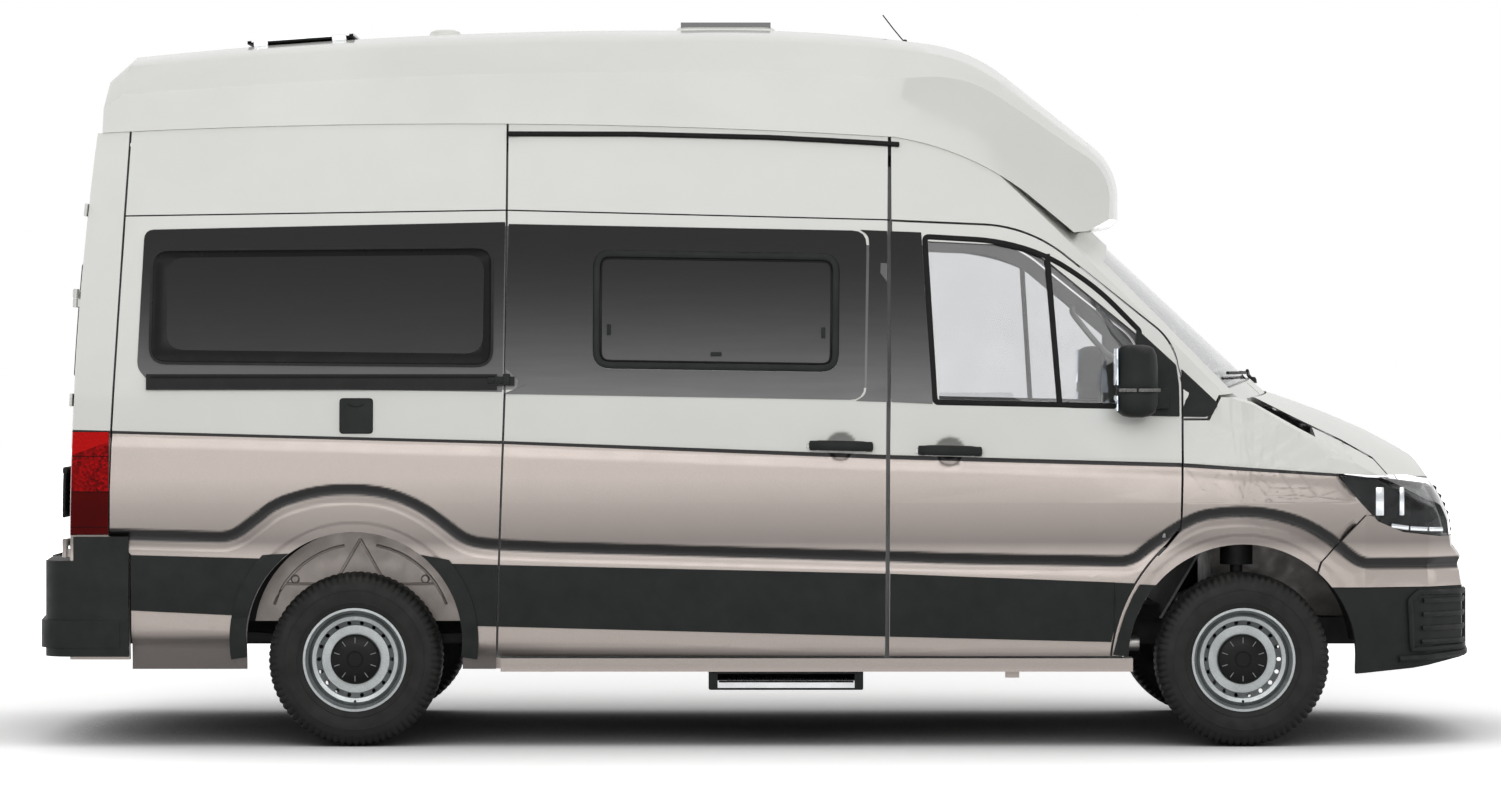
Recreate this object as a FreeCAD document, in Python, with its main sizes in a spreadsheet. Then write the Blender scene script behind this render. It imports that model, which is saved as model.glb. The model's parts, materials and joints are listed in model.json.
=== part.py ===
import FreeCAD, Part
import math
import os
import re
import Sketcher
from FreeCAD import Vector

# Camper van, millimetres. +X forward, +Y to the van's left, +Z up.
# The origin is on the ground at the middle of the whole length and width.

doc = FreeCAD.newDocument("camper_van")
sheet = doc.addObject("Spreadsheet::Sheet", "sizes")

# Driving sizes: name, value, what it is
drivingSizes = [
    ("body_length", 5986, "front bumper to rear bumper"),
    ("body_width", 2040, "over the side panels at the waist"),
    ("roof_height", 2990, "ground to the top of the high roof"),
    ("roof_proud", 8, "overhang of the roof cap past the side panels"),
    ("wheelbase", 3640, "front axle to rear axle"),
    ("front_overhang", 999, "front axle to the front bumper"),
    ("track_width", 1742, "between the tyres' middles"),
    ("tyre_radius", 356, "outside of the tyre"),
    ("tyre_width", 235, "sidewall to sidewall"),
    ("rim_radius", 203, "bead seat of the wheel"),
    ("rim_hole_circle", 149.5, "middle of the wheel to its holes"),
    ("rim_hole_radius", 8.5, "ventilation holes of the wheel"),
    ("wall", 45, "whole thickness of a side wall or door"),
    ("roof_wall", 38, "sandwich shell of the high roof"),
    ("panel_gap", 9, "shut line between two panels"),
    ("seat_clearance", 0.4, "between a panel and the frame that carries it"),
    ("door_clearance", 6, "between a closed door and the frame inside it"),
    ("glass_thickness", 6, "panes"),
    ("glass_gap", 0.4, "rubber line around a pane"),
    ("sill_height", 318, "underside of the side panels"),
    ("door_bottom", 372, "lower edge of the doors"),
    ("gutter_drop", 0.5, "joint between roof cap and side panels"),
    ("floor_height", 560, "top of the floor"),
    ("floor_thickness", 60, "floor with its ribs"),
    ("floor_half_width", 916, "middle to the floor's edge"),
    ("rail_half_spacing", 430, "middle to a chassis rail"),
    ("rail_width", 70, "chassis rail"),
    ("rail_depth", 110, "chassis rail"),
    ("tow_hole_radius", 6.5, "bolt holes for a tow bar, two in each rail"),
    ("tow_hole_spacing", 160, "between the two bolt holes of a rail"),
    ("arch_radius", 442, "rear wheel opening"),
    ("front_arch_radius", 468, "front wheel opening"),
    ("screen_radius", 2550, "curve of the windscreen across the van"),
    ("nose_radius", 3900, "curve of the nose seen from above"),
    ("tail_radius", 5600, "curve of the tail seen from above"),
]
for row, (name, value, note) in enumerate(drivingSizes, start=1):
    sheet.set("A%d" % row, name)
    sheet.set("B%d" % row, str(value))
    sheet.setAlias("B%d" % row, name)
    sheet.set("C%d" % row, note)
doc.recompute()


def size(name):
    return float(sheet.get(name))


noseX = size("body_length") / 2
tailX = -noseX
frontAxleX = noseX - size("front_overhang")
rearAxleX = frontAxleX - size("wheelbase")
halfWidth = size("body_width") / 2
wall = size("wall")
gap = size("panel_gap")
wide = 3000.0  # reach of a cutting tool across the van


# ---- outlines of lines and arcs ------------------------------------------

def outlineEdges(points, place):
    """Closed outline: each point is (a, b), or (a, b, "via") for the middle of an arc."""
    edges = []
    count = len(points)
    index = 0
    while index < count:
        start = points[index]
        middle = points[(index + 1) % count]
        if len(middle) == 3:
            finish = points[(index + 2) % count]
            arc = Part.Arc(place(*start[:2]), place(*middle[:2]), place(*finish[:2]))
            edges.append(arc.toShape())
            index += 2
        else:
            edges.append(Part.makeLine(place(*start[:2]), place(*middle[:2])))
            index += 1
    return edges


def outlineFace(points, place):
    return Part.Face(Part.Wire(outlineEdges(points, place)))


def sidePrism(points, fromY, toY):
    """Outline in the side view (x, z), extruded across the van."""
    face = outlineFace(points, lambda x, z: Vector(x, fromY, z))
    return face.extrude(Vector(0, toY - fromY, 0))


def rearPrism(points, fromX, toX):
    """Outline in the rear view (y, z), extruded along the van."""
    face = outlineFace(points, lambda y, z: Vector(fromX, y, z))
    return face.extrude(Vector(toX - fromX, 0, 0))


def planPrism(points, fromZ, toZ):
    """Outline in the plan (x, y), extruded upward."""
    face = outlineFace(points, lambda x, y: Vector(x, y, fromZ))
    return face.extrude(Vector(0, 0, toZ - fromZ))


def spunProfile(points, axisX):
    """Side-view outline turned about an upright axis, for a curved nose or tail."""
    face = outlineFace(points, lambda x, z: Vector(x, 0, z))
    face.rotate(Vector(axisX, 0, 0), Vector(0, 0, 1), -30)
    return face.revolve(Vector(axisX, 0, 0), Vector(0, 0, 1), 60)


# ---- envelopes of the coachwork ------------------------------------------
# Each is a solid whose skin is the outer paint when inset is 0, and the inner
# lining when inset is the wall thickness.

# Half widths of the flanks. Columns: distance from the nose, sill, waist,
# belt and top, at the heights sill_height, waistZ, beltZ and flankTopZ.
waistZ = 1000
beltZ = 1450
flankTopZ = 3050
flankStations = [
    (6200, 985, 1020, 999, 805),
    (2440, 985, 1020, 999, 805),
    (1690, 984, 1019, 984, 620),
    (1010, 980, 1010, 935, 400),
    (500, 950, 980, 860, 380),
    (230, 880, 905, 790, 340),
    (-60, 620, 650, 560, 250),
]
underZ = 150


def flankWire(station, inset):
    fromNose, sill, waist, belt, top = station
    x = noseX - fromNose
    sillZ = size("sill_height")
    lowZ = underZ + inset

    def spot(y, z):
        return Vector(x, y, z)

    bulge = (sill + waist) / 2 + 12
    right = [
        Part.makeLine(spot(0, lowZ), spot(-(sill - inset), lowZ)),
        Part.makeLine(spot(-(sill - inset), lowZ), spot(-(sill - inset), sillZ)),
        Part.Arc(spot(-(sill - inset), sillZ), spot(-(bulge - inset), (sillZ + waistZ) / 2),
                 spot(-(waist - inset), waistZ)).toShape(),
        Part.makeLine(spot(-(waist - inset), waistZ), spot(-(belt - inset), beltZ)),
        Part.Arc(spot(-(belt - inset), beltZ), spot(-((belt + top) / 2 + 8 - inset), (beltZ + flankTopZ) / 2),
                 spot(-(top - inset), flankTopZ)).toShape(),
        Part.makeLine(spot(-(top - inset), flankTopZ), spot(0, flankTopZ)),
    ]
    left = []
    for edge in reversed(right):
        ends = [vertex.Point for vertex in edge.Vertexes]
        if edge.Curve.TypeId == "Part::GeomCircle":
            middle = edge.valueAt((edge.FirstParameter + edge.LastParameter) / 2)
            left.append(Part.Arc(spot(-ends[1].y, ends[1].z), spot(-middle.y, middle.z),
                                 spot(-ends[0].y, ends[0].z)).toShape())
        else:
            left.append(Part.makeLine(spot(-ends[1].y, ends[1].z), spot(-ends[0].y, ends[0].z)))
    return Part.Wire(right + left)


def flankEnvelope(inset):
    wires = [flankWire(station, inset) for station in flankStations]
    return Part.makeLoft(wires, True, True)


# Windscreen line on the middle of the van, from its top edge to its foot
screenTop = (1454, 2118)
screenFoot = (2133, 1489)


def screenOutside(inset):
    """Everything ahead of the windscreen's curved face, to cut away."""
    alongX = screenFoot[0] - screenTop[0]
    alongZ = screenFoot[1] - screenTop[1]
    length = math.hypot(alongX, alongZ)
    along = Vector(alongX / length, 0, alongZ / length)
    outward = Vector(-along.z, 0, along.x)
    top = Vector(screenTop[0], 0, screenTop[1])
    block = Part.makeBox(2 * wide, 2000, 3000)
    block.Placement = FreeCAD.Placement(
        top - outward * 330 - along * 900 + Vector(0, wide, 0),
        FreeCAD.Rotation(Vector(0, -1, 0), along, outward, "XYZ"))
    axisPoint = top - outward * size("screen_radius") - along * 1500
    cylinder = Part.makeCylinder(size("screen_radius") - inset, 3500, axisPoint, along)
    return block.cut(cylinder)


def tailOutside(inset):
    """Everything behind the curved tail, to cut away."""
    faceX = tailX + 97
    profile = [
        (-1500, -100), (faceX + inset, -100), (faceX + inset, 886),
        (faceX + 32 + inset, 1700, "via"), (faceX + 128 + inset, 2620),
        (faceX + 128 + inset, 3300), (-1500, 3300),
    ]
    inside = spunProfile(profile, faceX + size("tail_radius"))
    block = Part.makeBox(1200, wide, 3300, Vector(tailX - 600, -wide / 2, -50))
    return block.cut(inside)


# Bonnet top. Columns: distance from the nose, height on the middle, and how far
# the crown has dropped 700 mm to the side.
bonnetStations = [
    (2000, 1790, 30), (953, 1497, 55), (762, 1436, 85), (568, 1366, 105), (390, 1290, 118), (200, 1188, 122),
    (70, 1068, 120), (-200, 950, 120),
]


def bonnetEnvelope(inset):
    """Everything under the crowned bonnet top."""
    reach = 1050
    wires = []
    for fromNose, top, drop in bonnetStations:
        x = noseX - fromNose
        z = top - inset
        side = z - drop * (reach / 700.0) ** 2
        wires.append(Part.Wire([
            Part.Arc(Vector(x, reach, side), Vector(x, 0, z), Vector(x, -reach, side)).toShape(),
            Part.makeLine(Vector(x, -reach, side), Vector(x, -reach, 0)),
            Part.makeLine(Vector(x, -reach, 0), Vector(x, reach, 0)),
            Part.makeLine(Vector(x, reach, 0), Vector(x, reach, side)),
        ]))
    return Part.makeLoft(wires, True, True)


def noseOutside(inset):
    """Everything ahead of the curved nose: grille, lamps and painted bumper."""
    profile = [
        (1500, -100), (noseX - inset, -100), (noseX - inset, 640), (noseX - 4 - inset, 765),
        (noseX - 40 - inset, 815), (noseX - 52 - inset, 918), (noseX - 84 - inset, 1001, "via"),
        (noseX - 126 - inset, 1068), (noseX - 230 - inset, 1220), (noseX - 230 - inset, 3300), (1500, 3300),
    ]
    inside = spunProfile(profile, noseX - size("nose_radius"))
    block = Part.makeBox(1600, wide, 3300, Vector(noseX - 1000, -wide / 2, -50))
    return block.cut(inside)


def tailBody(inset):
    """Load space and cab, behind the windscreen."""
    cabin = flankEnvelope(inset).cut(tailOutside(inset))
    return cabin.cut(screenOutside(inset))


def noseBody(inset):
    """Wings, bonnet and front end."""
    block = flankEnvelope(inset).cut(noseOutside(inset))
    return block.common(bonnetEnvelope(inset))


def skin(body, outer, inner):
    """Part of the body's wall between two insets."""
    return body(outer).cut(body(inner))


# ---- sub-parts ------------------------------------------------------------

subParts = []


def keep(item, label):
    item.Label = label
    subParts.append(item)
    return item


def shapeFeature(label, shape):
    item = doc.addObject("Part::Feature", label)
    item.Shape = shape
    return keep(item, label)


def joined(shapes):
    whole = shapes[0]
    for shape in shapes[1:]:
        whole = whole.fuse(shape)
    return whole.removeSplitter()


def mirrored(shape):
    return shape.mirror(Vector(0, 0, 0), Vector(0, 1, 0))


def pairOf(shape):
    return Part.makeCompound([shape, mirrored(shape)])


def cylinderAcross(x, z, radius, fromY, toY):
    return Part.makeCylinder(radius, abs(toY - fromY), Vector(x, min(fromY, toY), z), Vector(0, 1, 0))


def boxBetween(fromX, toX, fromY, toY, fromZ, toZ):
    return Part.makeBox(toX - fromX, toY - fromY, toZ - fromZ, Vector(fromX, fromY, fromZ))


def roundedPane(fromX, toX, fromZ, toZ, radius, fromY, toY):
    """Window outline with round corners, extruded across the van."""
    box = boxBetween(fromX, toX, fromY, toY, fromZ, toZ)
    upright = [edge for edge in box.Edges if abs(edge.tangentAt(edge.FirstParameter).y) > 0.9]
    return box.makeFillet(radius, upright)


def roundedBackPane(fromY, toY, fromZ, toZ, radius, fromX, toX):
    """Window outline with round corners, extruded along the van."""
    box = boxBetween(fromX, toX, fromY, toY, fromZ, toZ)
    along = [edge for edge in box.Edges if abs(edge.tangentAt(edge.FirstParameter).x) > 0.9]
    return box.makeFillet(radius, along)


aliases = "|".join(name for name, value, note in drivingSizes)


def bound(text):
    """Expression text with each sheet name given its sheet."""
    return re.sub(r"\b(%s)\b" % aliases, r"sizes.\1", text)


def worth(text):
    number = sheet.evalExpression(text)
    return float(getattr(number, "Value", number))


def bodyWithSketch(label, planeRole, loops):
    """New body with a sketch of closed corner loops, each corner tied to the sheet."""
    body = doc.addObject("PartDesign::Body", label)
    plane = [item for item in body.Origin.OriginFeatures if item.Role == planeRole][0]
    sketch = body.newObject("Sketcher::SketchObject", label + "Sketch")
    sketch.AttachmentSupport = [(plane, "")]
    sketch.MapMode = "FlatFace"
    tieLoops(sketch, loops)
    return body, sketch


def tieLoops(sketch, loops):
    for corners in loops:
        first = sketch.GeometryCount
        count = len(corners)
        spots = [Vector(worth(across), worth(up), 0) for across, up in corners]
        for index in range(count):
            sketch.addGeometry(Part.LineSegment(spots[index], spots[(index + 1) % count]))
        for index in range(count):
            sketch.addConstraint(Sketcher.Constraint(
                "Coincident", first + index, 2, first + (index + 1) % count, 1))
        for index, (across, up) in enumerate(corners):
            for kind, text, number in (("DistanceX", across, spots[index].x), ("DistanceY", up, spots[index].y)):
                place = sketch.addConstraint(Sketcher.Constraint(kind, -1, 1, first + index, 1, number))
                sketch.setExpression("Constraints[%d]" % place, bound(text))


def tieCircle(sketch, across, up, radius):
    """Circle whose centre and radius are tied to the sheet."""
    spot = Vector(worth(across), worth(up), 0)
    circle = sketch.addGeometry(Part.Circle(spot, Vector(0, 0, 1), worth(radius)))
    for kind, text, number in (("DistanceX", across, spot.x), ("DistanceY", up, spot.y)):
        place = sketch.addConstraint(Sketcher.Constraint(kind, -1, 1, circle, 3, number))
        sketch.setExpression("Constraints[%d]" % place, bound(text))
    place = sketch.addConstraint(Sketcher.Constraint("Radius", circle, worth(radius)))
    sketch.setExpression("Constraints[%d]" % place, bound(radius))


def placeBy(item, x, y, z):
    item.setExpression("Placement.Base.x", bound(x))
    item.setExpression("Placement.Base.y", bound(y))
    item.setExpression("Placement.Base.z", bound(z))


def turnedBody(label, corners):
    """Profile of (radius, across) corners, turned about the Y axis."""
    body, sketch = bodyWithSketch(label, "XY_Plane", [corners])
    turn = body.newObject("PartDesign::Revolution", label + "Turn")
    turn.Profile = sketch
    turn.ReferenceAxis = (sketch, ["V_Axis"])
    turn.Angle = 360
    sketch.Visibility = False
    return body


def raisedBody(label, planeRole, loops, thickness, circles=()):
    """Closed loops, with round holes, padded to a thickness."""
    body, sketch = bodyWithSketch(label, planeRole, loops)
    for across, up, radius in circles:
        tieCircle(sketch, across, up, radius)
    pad = body.newObject("PartDesign::Pad", label + "Pad")
    pad.Profile = sketch
    pad.setExpression("Length", bound(thickness))
    return body


def boxLoop(fromAcross, toAcross, fromUp, toUp):
    return [(fromAcross, fromUp), (toAcross, fromUp), (toAcross, toUp), (fromAcross, toUp)]


frontAxleText = "body_length / 2 - front_overhang"
rearAxleText = "body_length / 2 - front_overhang - wheelbase"

# ---- shut lines in the side view, from the nose or the axles --------------

gutterLine = [
    (-3300, 2480), (-1023, 2556, "via"), (570, 2501), (920, 2392, "via"), (1120, 2268), (1310, 2110),
    (1372, 2118), (1516, 2148), (1760, 2180), (3400, 2180),
]
cornerSeam = [(-2567, 2600), (-2590, 2175), (-2634, 1298), (-2642, 1050), (-2642, 868)]
slideRearX = [(-1020, 2600), (-1024, 1502), (-1048, 767), (-1060, 300)]
slideFrontX = [(550, 2600), (538, 1196), (534, 300)]
doorOutline = [
    (557, 2152), (940, 2137), (1120, 2098, "via"), (1255, 2022), (1630, 1722), (1700, 1640, "via"),
    (1724, 1560), (1741, 1490), (1739, 1160), (1731, 900), (1672, 830), (1530, 650, "via"), (1445, 372),
    (542, 372), (546, 1196),
]
bonnetSeam = [
    (1980, 1475), (2051, 1438), (2231, 1346), (2425, 1254), (2550, 1182), (2600, 1112), (2700, 1108),
    (2766, 1094), (3100, 1060),
]


def below(line, drop=0.0, floorZ=-200):
    """Side-view outline of everything under a line."""
    shifted = [(point[0], point[1] - drop) + tuple(point[2:]) for point in line]
    return shifted + [(line[-1][0], floorZ), (line[0][0], floorZ)]


def above(line, ceilingZ=3500):
    return list(line) + [(line[-1][0], ceilingZ), (line[0][0], ceilingZ)]


def ahead(line, frontX=3400):
    return list(line) + [(frontX, line[-1][1]), (frontX, line[0][1])]


def behind(line, backX=-3400):
    return list(line) + [(backX, line[-1][1]), (backX, line[0][1])]


def grown(outline, margin):
    """Prism of a side-view outline made larger all round, across the whole van."""
    wire = Part.Wire(outlineEdges(outline, lambda x, z: Vector(x, -wide, z)))
    bigger = wire.makeOffset2D(margin, 2)
    return Part.Face(bigger).extrude(Vector(0, 2 * wide, 0))


def acrossVan(outline):
    return sidePrism(outline, -wide, wide)


rightHalf = boxBetween(-4000, 4000, -wide, 0, -500, 4000)
leftHalf = boxBetween(-4000, 4000, 0, wide, -500, 4000)
underGutter = acrossVan(below(gutterLine, size("gutter_drop")))
tailSkin = skin(tailBody, 0, wall)
noseSkin = skin(noseBody, 0, wall)
sillZ = size("sill_height")
doorZ = size("door_bottom")
archZ = size("tyre_radius") + 83
rearArch = joined([
    cylinderAcross(rearAxleX, archZ, size("arch_radius"), -wide, wide),
    boxBetween(rearAxleX - size("arch_radius"), rearAxleX + size("arch_radius"), -wide, wide, -100, archZ),
])
frontArchX = frontAxleX - 4
frontArchZ = size("tyre_radius") + 6


def grownArch(margin):
    """Front wheel opening across the whole van, made larger."""
    radius = size("front_arch_radius") + margin
    return cylinderAcross(frontArchX, frontArchZ, radius, -wide, wide).fuse(
        boxBetween(frontArchX - radius, frontArchX + radius, -wide, wide, -100, frontArchZ))


frontArch = grownArch(0)

# Windows: name, from x, to x, from z, to z, corner radius
sideWindows = {
    "rear": (-2500, -1078, 1560, 2056, 80),
    "middle": (-655, 342, 1555, 2024, 75),
}


def paneRing(name, margin, fromY, toY):
    fromX, toX, fromZ, toZ, radius = sideWindows[name]
    return roundedPane(fromX - margin, toX + margin, fromZ - margin, toZ + margin, radius + margin, fromY, toY)


# ---- side panels ----------------------------------------------------------

cornerLine = cornerSeam + [(-2556, 790), (-2556, -200)]


def sidePanel(half, frontLine, windows):
    panel = tailSkin.common(half).common(underGutter)
    panel = panel.common(acrossVan(ahead(cornerLine)))
    panel = panel.common(acrossVan(behind(frontLine)))
    panel = panel.common(acrossVan(boxLine(-3000, 3000, sillZ, 2700)))
    panel = panel.cut(rearArch)
    for name in windows:
        panel = panel.cut(paneRing(name, 0, -wide, wide))
    return panel


def boxLine(fromX, toX, fromZ, toZ):
    return [(fromX, fromZ), (toX, fromZ), (toX, toZ), (fromX, toZ)]


def shifted(line, alongX):
    return [(point[0] + alongX, point[1]) + tuple(point[2:]) for point in line]


shapeFeature("right_side_panel", sidePanel(rightHalf, shifted(slideRearX, -gap), ["rear"]))
shapeFeature("left_side_panel", sidePanel(leftHalf, shifted(slideFrontX, -gap), ["rear", "middle"]))

sliding = tailSkin.common(rightHalf).common(underGutter)
sliding = sliding.common(acrossVan(ahead(slideRearX))).common(acrossVan(behind(shifted(slideFrontX, -gap))))
sliding = sliding.common(acrossVan(boxLine(-3000, 3000, doorZ, 2700))).cut(paneRing("middle", 0, -wide, 0))
shapeFeature("sliding_door", sliding)

# Tail: corner pillars, header and lower cross panel round the rear doors
rearDoorHalf = 836
rearDoorFoot = 772
rearDoorHead = 2440
lampFromZ = 868
lampToZ = 1292
lampDepth = 26
tailOpening = boxBetween(tailX - 500, -2600, -rearDoorHalf - gap, rearDoorHalf + gap,
                         rearDoorFoot - gap, rearDoorHead + gap)
lampRegion = acrossVan(behind([(-2644, lampToZ), (-2644, lampFromZ)])).cut(
    boxBetween(-4000, 0, -rearDoorHalf - gap - 6, rearDoorHalf + gap + 6, -500, 4000))
tailFrame = tailSkin.common(underGutter).common(acrossVan(behind(shifted(cornerLine, -gap))))
tailFrame = tailFrame.common(acrossVan(boxLine(-3300, 0, sillZ + 40, 2700))).cut(tailOpening)
tailFrame = tailFrame.cut(skin(tailBody, -1, lampDepth + size("seat_clearance")).common(lampRegion))

# Outside hinges of the rear doors: the pin line leans with the tail
hingeFoot = Vector(tailX + 159, 945, 813)
hingeLean = Vector(43, 0, 1024)
rearHingeSteps = (0.0, 1.0)
barrelRadius = 12
pinPlay = 0.5


def rearBarrel(step, fromRise, toRise):
    unit = Vector(hingeLean)
    unit.normalize()
    return Part.makeCylinder(barrelRadius, toRise - fromRise, hingeFoot + hingeLean * step + unit * fromRise, unit)


def frameHinge(step):
    spot = hingeFoot + hingeLean * step
    plate = boxBetween(spot.x - 2, spot.x + 45, spot.y - 10, spot.y + 10, spot.z - 36, spot.z - 4)
    return rearBarrel(step, -38, -pinPlay).fuse(plate)


def doorHinge(step):
    spot = hingeFoot + hingeLean * step
    strap = boxBetween(spot.x - 13, spot.x - 5, 786, spot.y, spot.z + 4, spot.z + 34)
    root = boxBetween(spot.x - 13, spot.x + 34, 786, 820, spot.z + 4, spot.z + 34)
    return rearBarrel(step, pinPlay, 38).fuse(strap).fuse(root)


for step in rearHingeSteps:
    tailFrame = tailFrame.fuse(frameHinge(step)).fuse(mirrored(frameHinge(step)))
shapeFeature("tail_frame", tailFrame)
lamps = skin(tailBody, 0, lampDepth).common(
    acrossVan(boxLine(-3300, -2648, lampFromZ + 3, lampToZ - 3))).common(lampRegion)
lamps = lamps.cut(boxBetween(-4000, 0, -rearDoorHalf - gap - 9, rearDoorHalf + gap + 9, -500, 4000))
shapeFeature("tail_lights", lamps)

# Rear doors: the right one closes over the left, each with its window
rearWindow = (120, 700, 1440, 2060, 70)
rearGlassInset = 9


def rearDoor(sign):
    door = tailSkin.common(boxBetween(tailX - 500, -2600, gap / 2, rearDoorHalf, rearDoorFoot, rearDoorHead))
    fromY, toY, fromZ, toZ, radius = rearWindow
    door = door.cut(roundedBackPane(fromY, toY, fromZ, toZ, radius, tailX - 500, -2600))
    for step in rearHingeSteps:
        door = door.fuse(doorHinge(step))
    return door if sign > 0 else mirrored(door)


def rearPane(sign):
    edge = size("glass_gap")
    fromY, toY, fromZ, toZ, radius = rearWindow
    opening = roundedBackPane(fromY + edge, toY - edge, fromZ + edge, toZ - edge, radius - edge, tailX - 500, -2600)
    pane = skin(tailBody, rearGlassInset, rearGlassInset + size("glass_thickness")).common(opening)
    return pane if sign > 0 else mirrored(pane)


for side, sign in (("left", 1), ("right", -1)):
    shapeFeature(side + "_rear_door", rearDoor(sign))
    shapeFeature(side + "_rear_glass", rearPane(sign))

# Front doors, with a window opening each and a notch for each hinge
doorWindow = [
    (700, 2072), (960, 2060), (1110, 2035, "via"), (1226, 1968), (1560, 1692), (1560, 1393), (748, 1408),
]
# Front door pins lean inward with the flank
pinFoot = Vector(1665, 999.5, 900)
pinLean = Vector(0, -34.5, 350)
doorHingeHeights = (880, 1210)
hingeTall = 80
pinRadius = 7
# Swan-neck arm from the pin round the door's lip, from above: (ahead of the pin, outward of the pin)
hingeNotch = [(-15, -300), (-15, 9), (16, 9), (100, -18), (100, -300)]   # ahead of the pin, out from it
swanNeck = [(-6, -3), (-6, -106), (125, -106), (125, -50), (105, -50), (105, -90), (6, -90), (6, -3)]


def pinAt(z):
    return pinFoot + pinLean * ((z - pinFoot.z) / pinLean.z)


def pinCylinder(radius, fromZ, toZ):
    start = pinAt(fromZ)
    reach = pinAt(toZ) - start
    return Part.makeCylinder(radius, reach.Length, start, reach)


def doorHingeArm(z):
    pin = pinAt(z + hingeTall / 2)
    neck = planPrism([(pin.x + ahead, pin.y + out) for ahead, out in swanNeck], z, z + hingeTall)
    return neck.fuse(pinCylinder(pinRadius, z - 22, z + hingeTall + 22))


doorOuter = acrossVan(doorOutline)
windowOpening = acrossVan(doorWindow)


def frontDoor(half, sign):
    door = tailSkin.common(half).common(doorOuter).cut(windowOpening)
    for z in doorHingeHeights:
        pin = pinAt(z + hingeTall / 2)
        notch = planPrism([(pin.x + ahead, pin.y + out) for ahead, out in hingeNotch],
                          z - 6, z + hingeTall + 6)
        room = notch.fuse(pinCylinder(pinRadius + pinPlay, z - 24, z + hingeTall + 24))
        door = door.cut(room if sign > 0 else mirrored(room))
    return door


doorPaneInset = 12


def doorPane(half):
    pane = skin(tailBody, doorPaneInset, doorPaneInset + size("glass_thickness")).common(half)
    return pane.common(grown(doorWindow, -size("glass_gap")))


for side, half, sign in (("left", leftHalf, 1), ("right", rightHalf, -1)):
    shapeFeature(side + "_front_door", frontDoor(half, sign))
    shapeFeature(side + "_door_glass", doorPane(half))

# Cab frame: windscreen pillars, header, hinge posts and cowl
doorHole = grown(doorOutline, gap)
frameLine = [
    (554, 2700), (554, 1900), (1500, 1400), (1748, 1345), (1846, 1345), (1896, 1440), (2030, 1452), (2260, 1440),
    (2260, 2700),
]
screenOpening = rearPrism([
    (-838, 1466), (0, 1508, "via"), (838, 1466), (712, 1992), (0, 2080, "via"), (-712, 1992),
], 900, 2600)
screenInset = 8


cowlHalf = 850

# Rear edge of the bonnet, bowed round the foot of the windscreen
bonnetBackX = 2186
bonnetSideX = 2040
bonnetHingeX = 2045
bonnetHingeZ = 1455
bonnetHingeY = 500


def bonnetPlan(margin):
    side = bonnetSideX - margin
    return planPrism([
        (side, -1100), (side, -760), (bonnetBackX - margin, 0, "via"), (side, 760), (side, 1100),
        (3400, 1100), (3400, -1100)], 900, 2000)


def cabFrame():
    frame = tailSkin.common(underGutter).common(acrossVan(frameLine))
    frame = frame.fuse(tailSkin.common(boxBetween(1890, 2190, -cowlHalf, cowlHalf, 1375, 1470)))
    frame = frame.cut(doorHole).cut(screenOpening).cut(bonnetPlan(gap))
    for y in (bonnetHingeY, -bonnetHingeY):
        frame = frame.cut(boxBetween(bonnetHingeX - 22, 2200, y - 12, y + 12, 1300, 1488))
    for y in (bonnetHingeY, -bonnetHingeY):
        frame = frame.fuse(cylinderAcross(bonnetHingeX, bonnetHingeZ, 8, y + 6.5, y + 40))
        frame = frame.fuse(cylinderAcross(bonnetHingeX, bonnetHingeZ, 8, y - 40, y - 6.5))
    return frame


screen = skin(tailBody, screenInset, screenInset + size("glass_thickness"))
screenEdge = rearPrism([
    (-837, 1467), (0, 1509, "via"), (837, 1467), (711, 1991), (0, 2079, "via"), (-711, 1991),
], 900, 2600)
shapeFeature("cab_frame", cabFrame())
shapeFeature("windscreen", screen.common(screenEdge).common(boxBetween(1000, 2130, -900, 900, 1300, 2200)))

# ---- nose -------------------------------------------------------------------

lampOutline = [
    (2392, 1114), (2600, 1103), (2766, 1086), (3100, 1054), (3100, 866), (2818, 862), (2655, 882), (2548, 926),
    (2470, 1008),
]
lampInner = 520
noseSplit = 650
chinLine = [(2200, 288), (2420, 294), (2700, 318), (2860, 345), (3200, 405)]
lampLine = acrossVan(lampOutline)
bonnetTop = acrossVan(above(bonnetSeam, 1900))
underBonnet = acrossVan(below([(1300, 1700)] + bonnetSeam, gap))

bonnet = noseSkin.common(bonnetTop).common(bonnetPlan(0))
for y in (bonnetHingeY, -bonnetHingeY):
    eye = cylinderAcross(bonnetHingeX, bonnetHingeZ, 12, y - 6, y + 6)
    arm = sidePrism([
        (bonnetHingeX - 4, bonnetHingeZ - 11), (bonnetHingeX + 120, bonnetHingeZ - 78),
        (bonnetHingeX + 120, bonnetHingeZ - 52), (bonnetHingeX + 4, bonnetHingeZ + 11)], y - 6, y + 6)
    bonnet = bonnet.fuse(eye.fuse(arm))
shapeFeature("bonnet", bonnet)

wingRegion = acrossVan([
    (1750, 1336), (1856, 1336), (1906, 1431), (2600, 1431), (3100, 1431), (3100, 949), (2490, 949), (2306, 757),
    (2245, 560), (2245, 372), (1400, 372), (1400, 1336)])
wings = noseSkin.common(wingRegion).common(underBonnet)
lipRoom = doorHole.translated(Vector(0, 0, -7)).common(boxBetween(1640, 1760, -wide, wide, 780, 915))
wings = wings.cut(doorHole).cut(lipRoom).cut(frontArch).cut(grown(lampOutline, 4))
wings = wings.cut(boxBetween(1400, 2300, -880, 880, 0, 2000)).cut(boxBetween(2200, 3400, -700, 700, 0, 2000))
wings = wings.cut(boxBetween(2600, 3400, -wide, wide, 1060, 2000))
shapeFeature("front_wings", wings)

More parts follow.
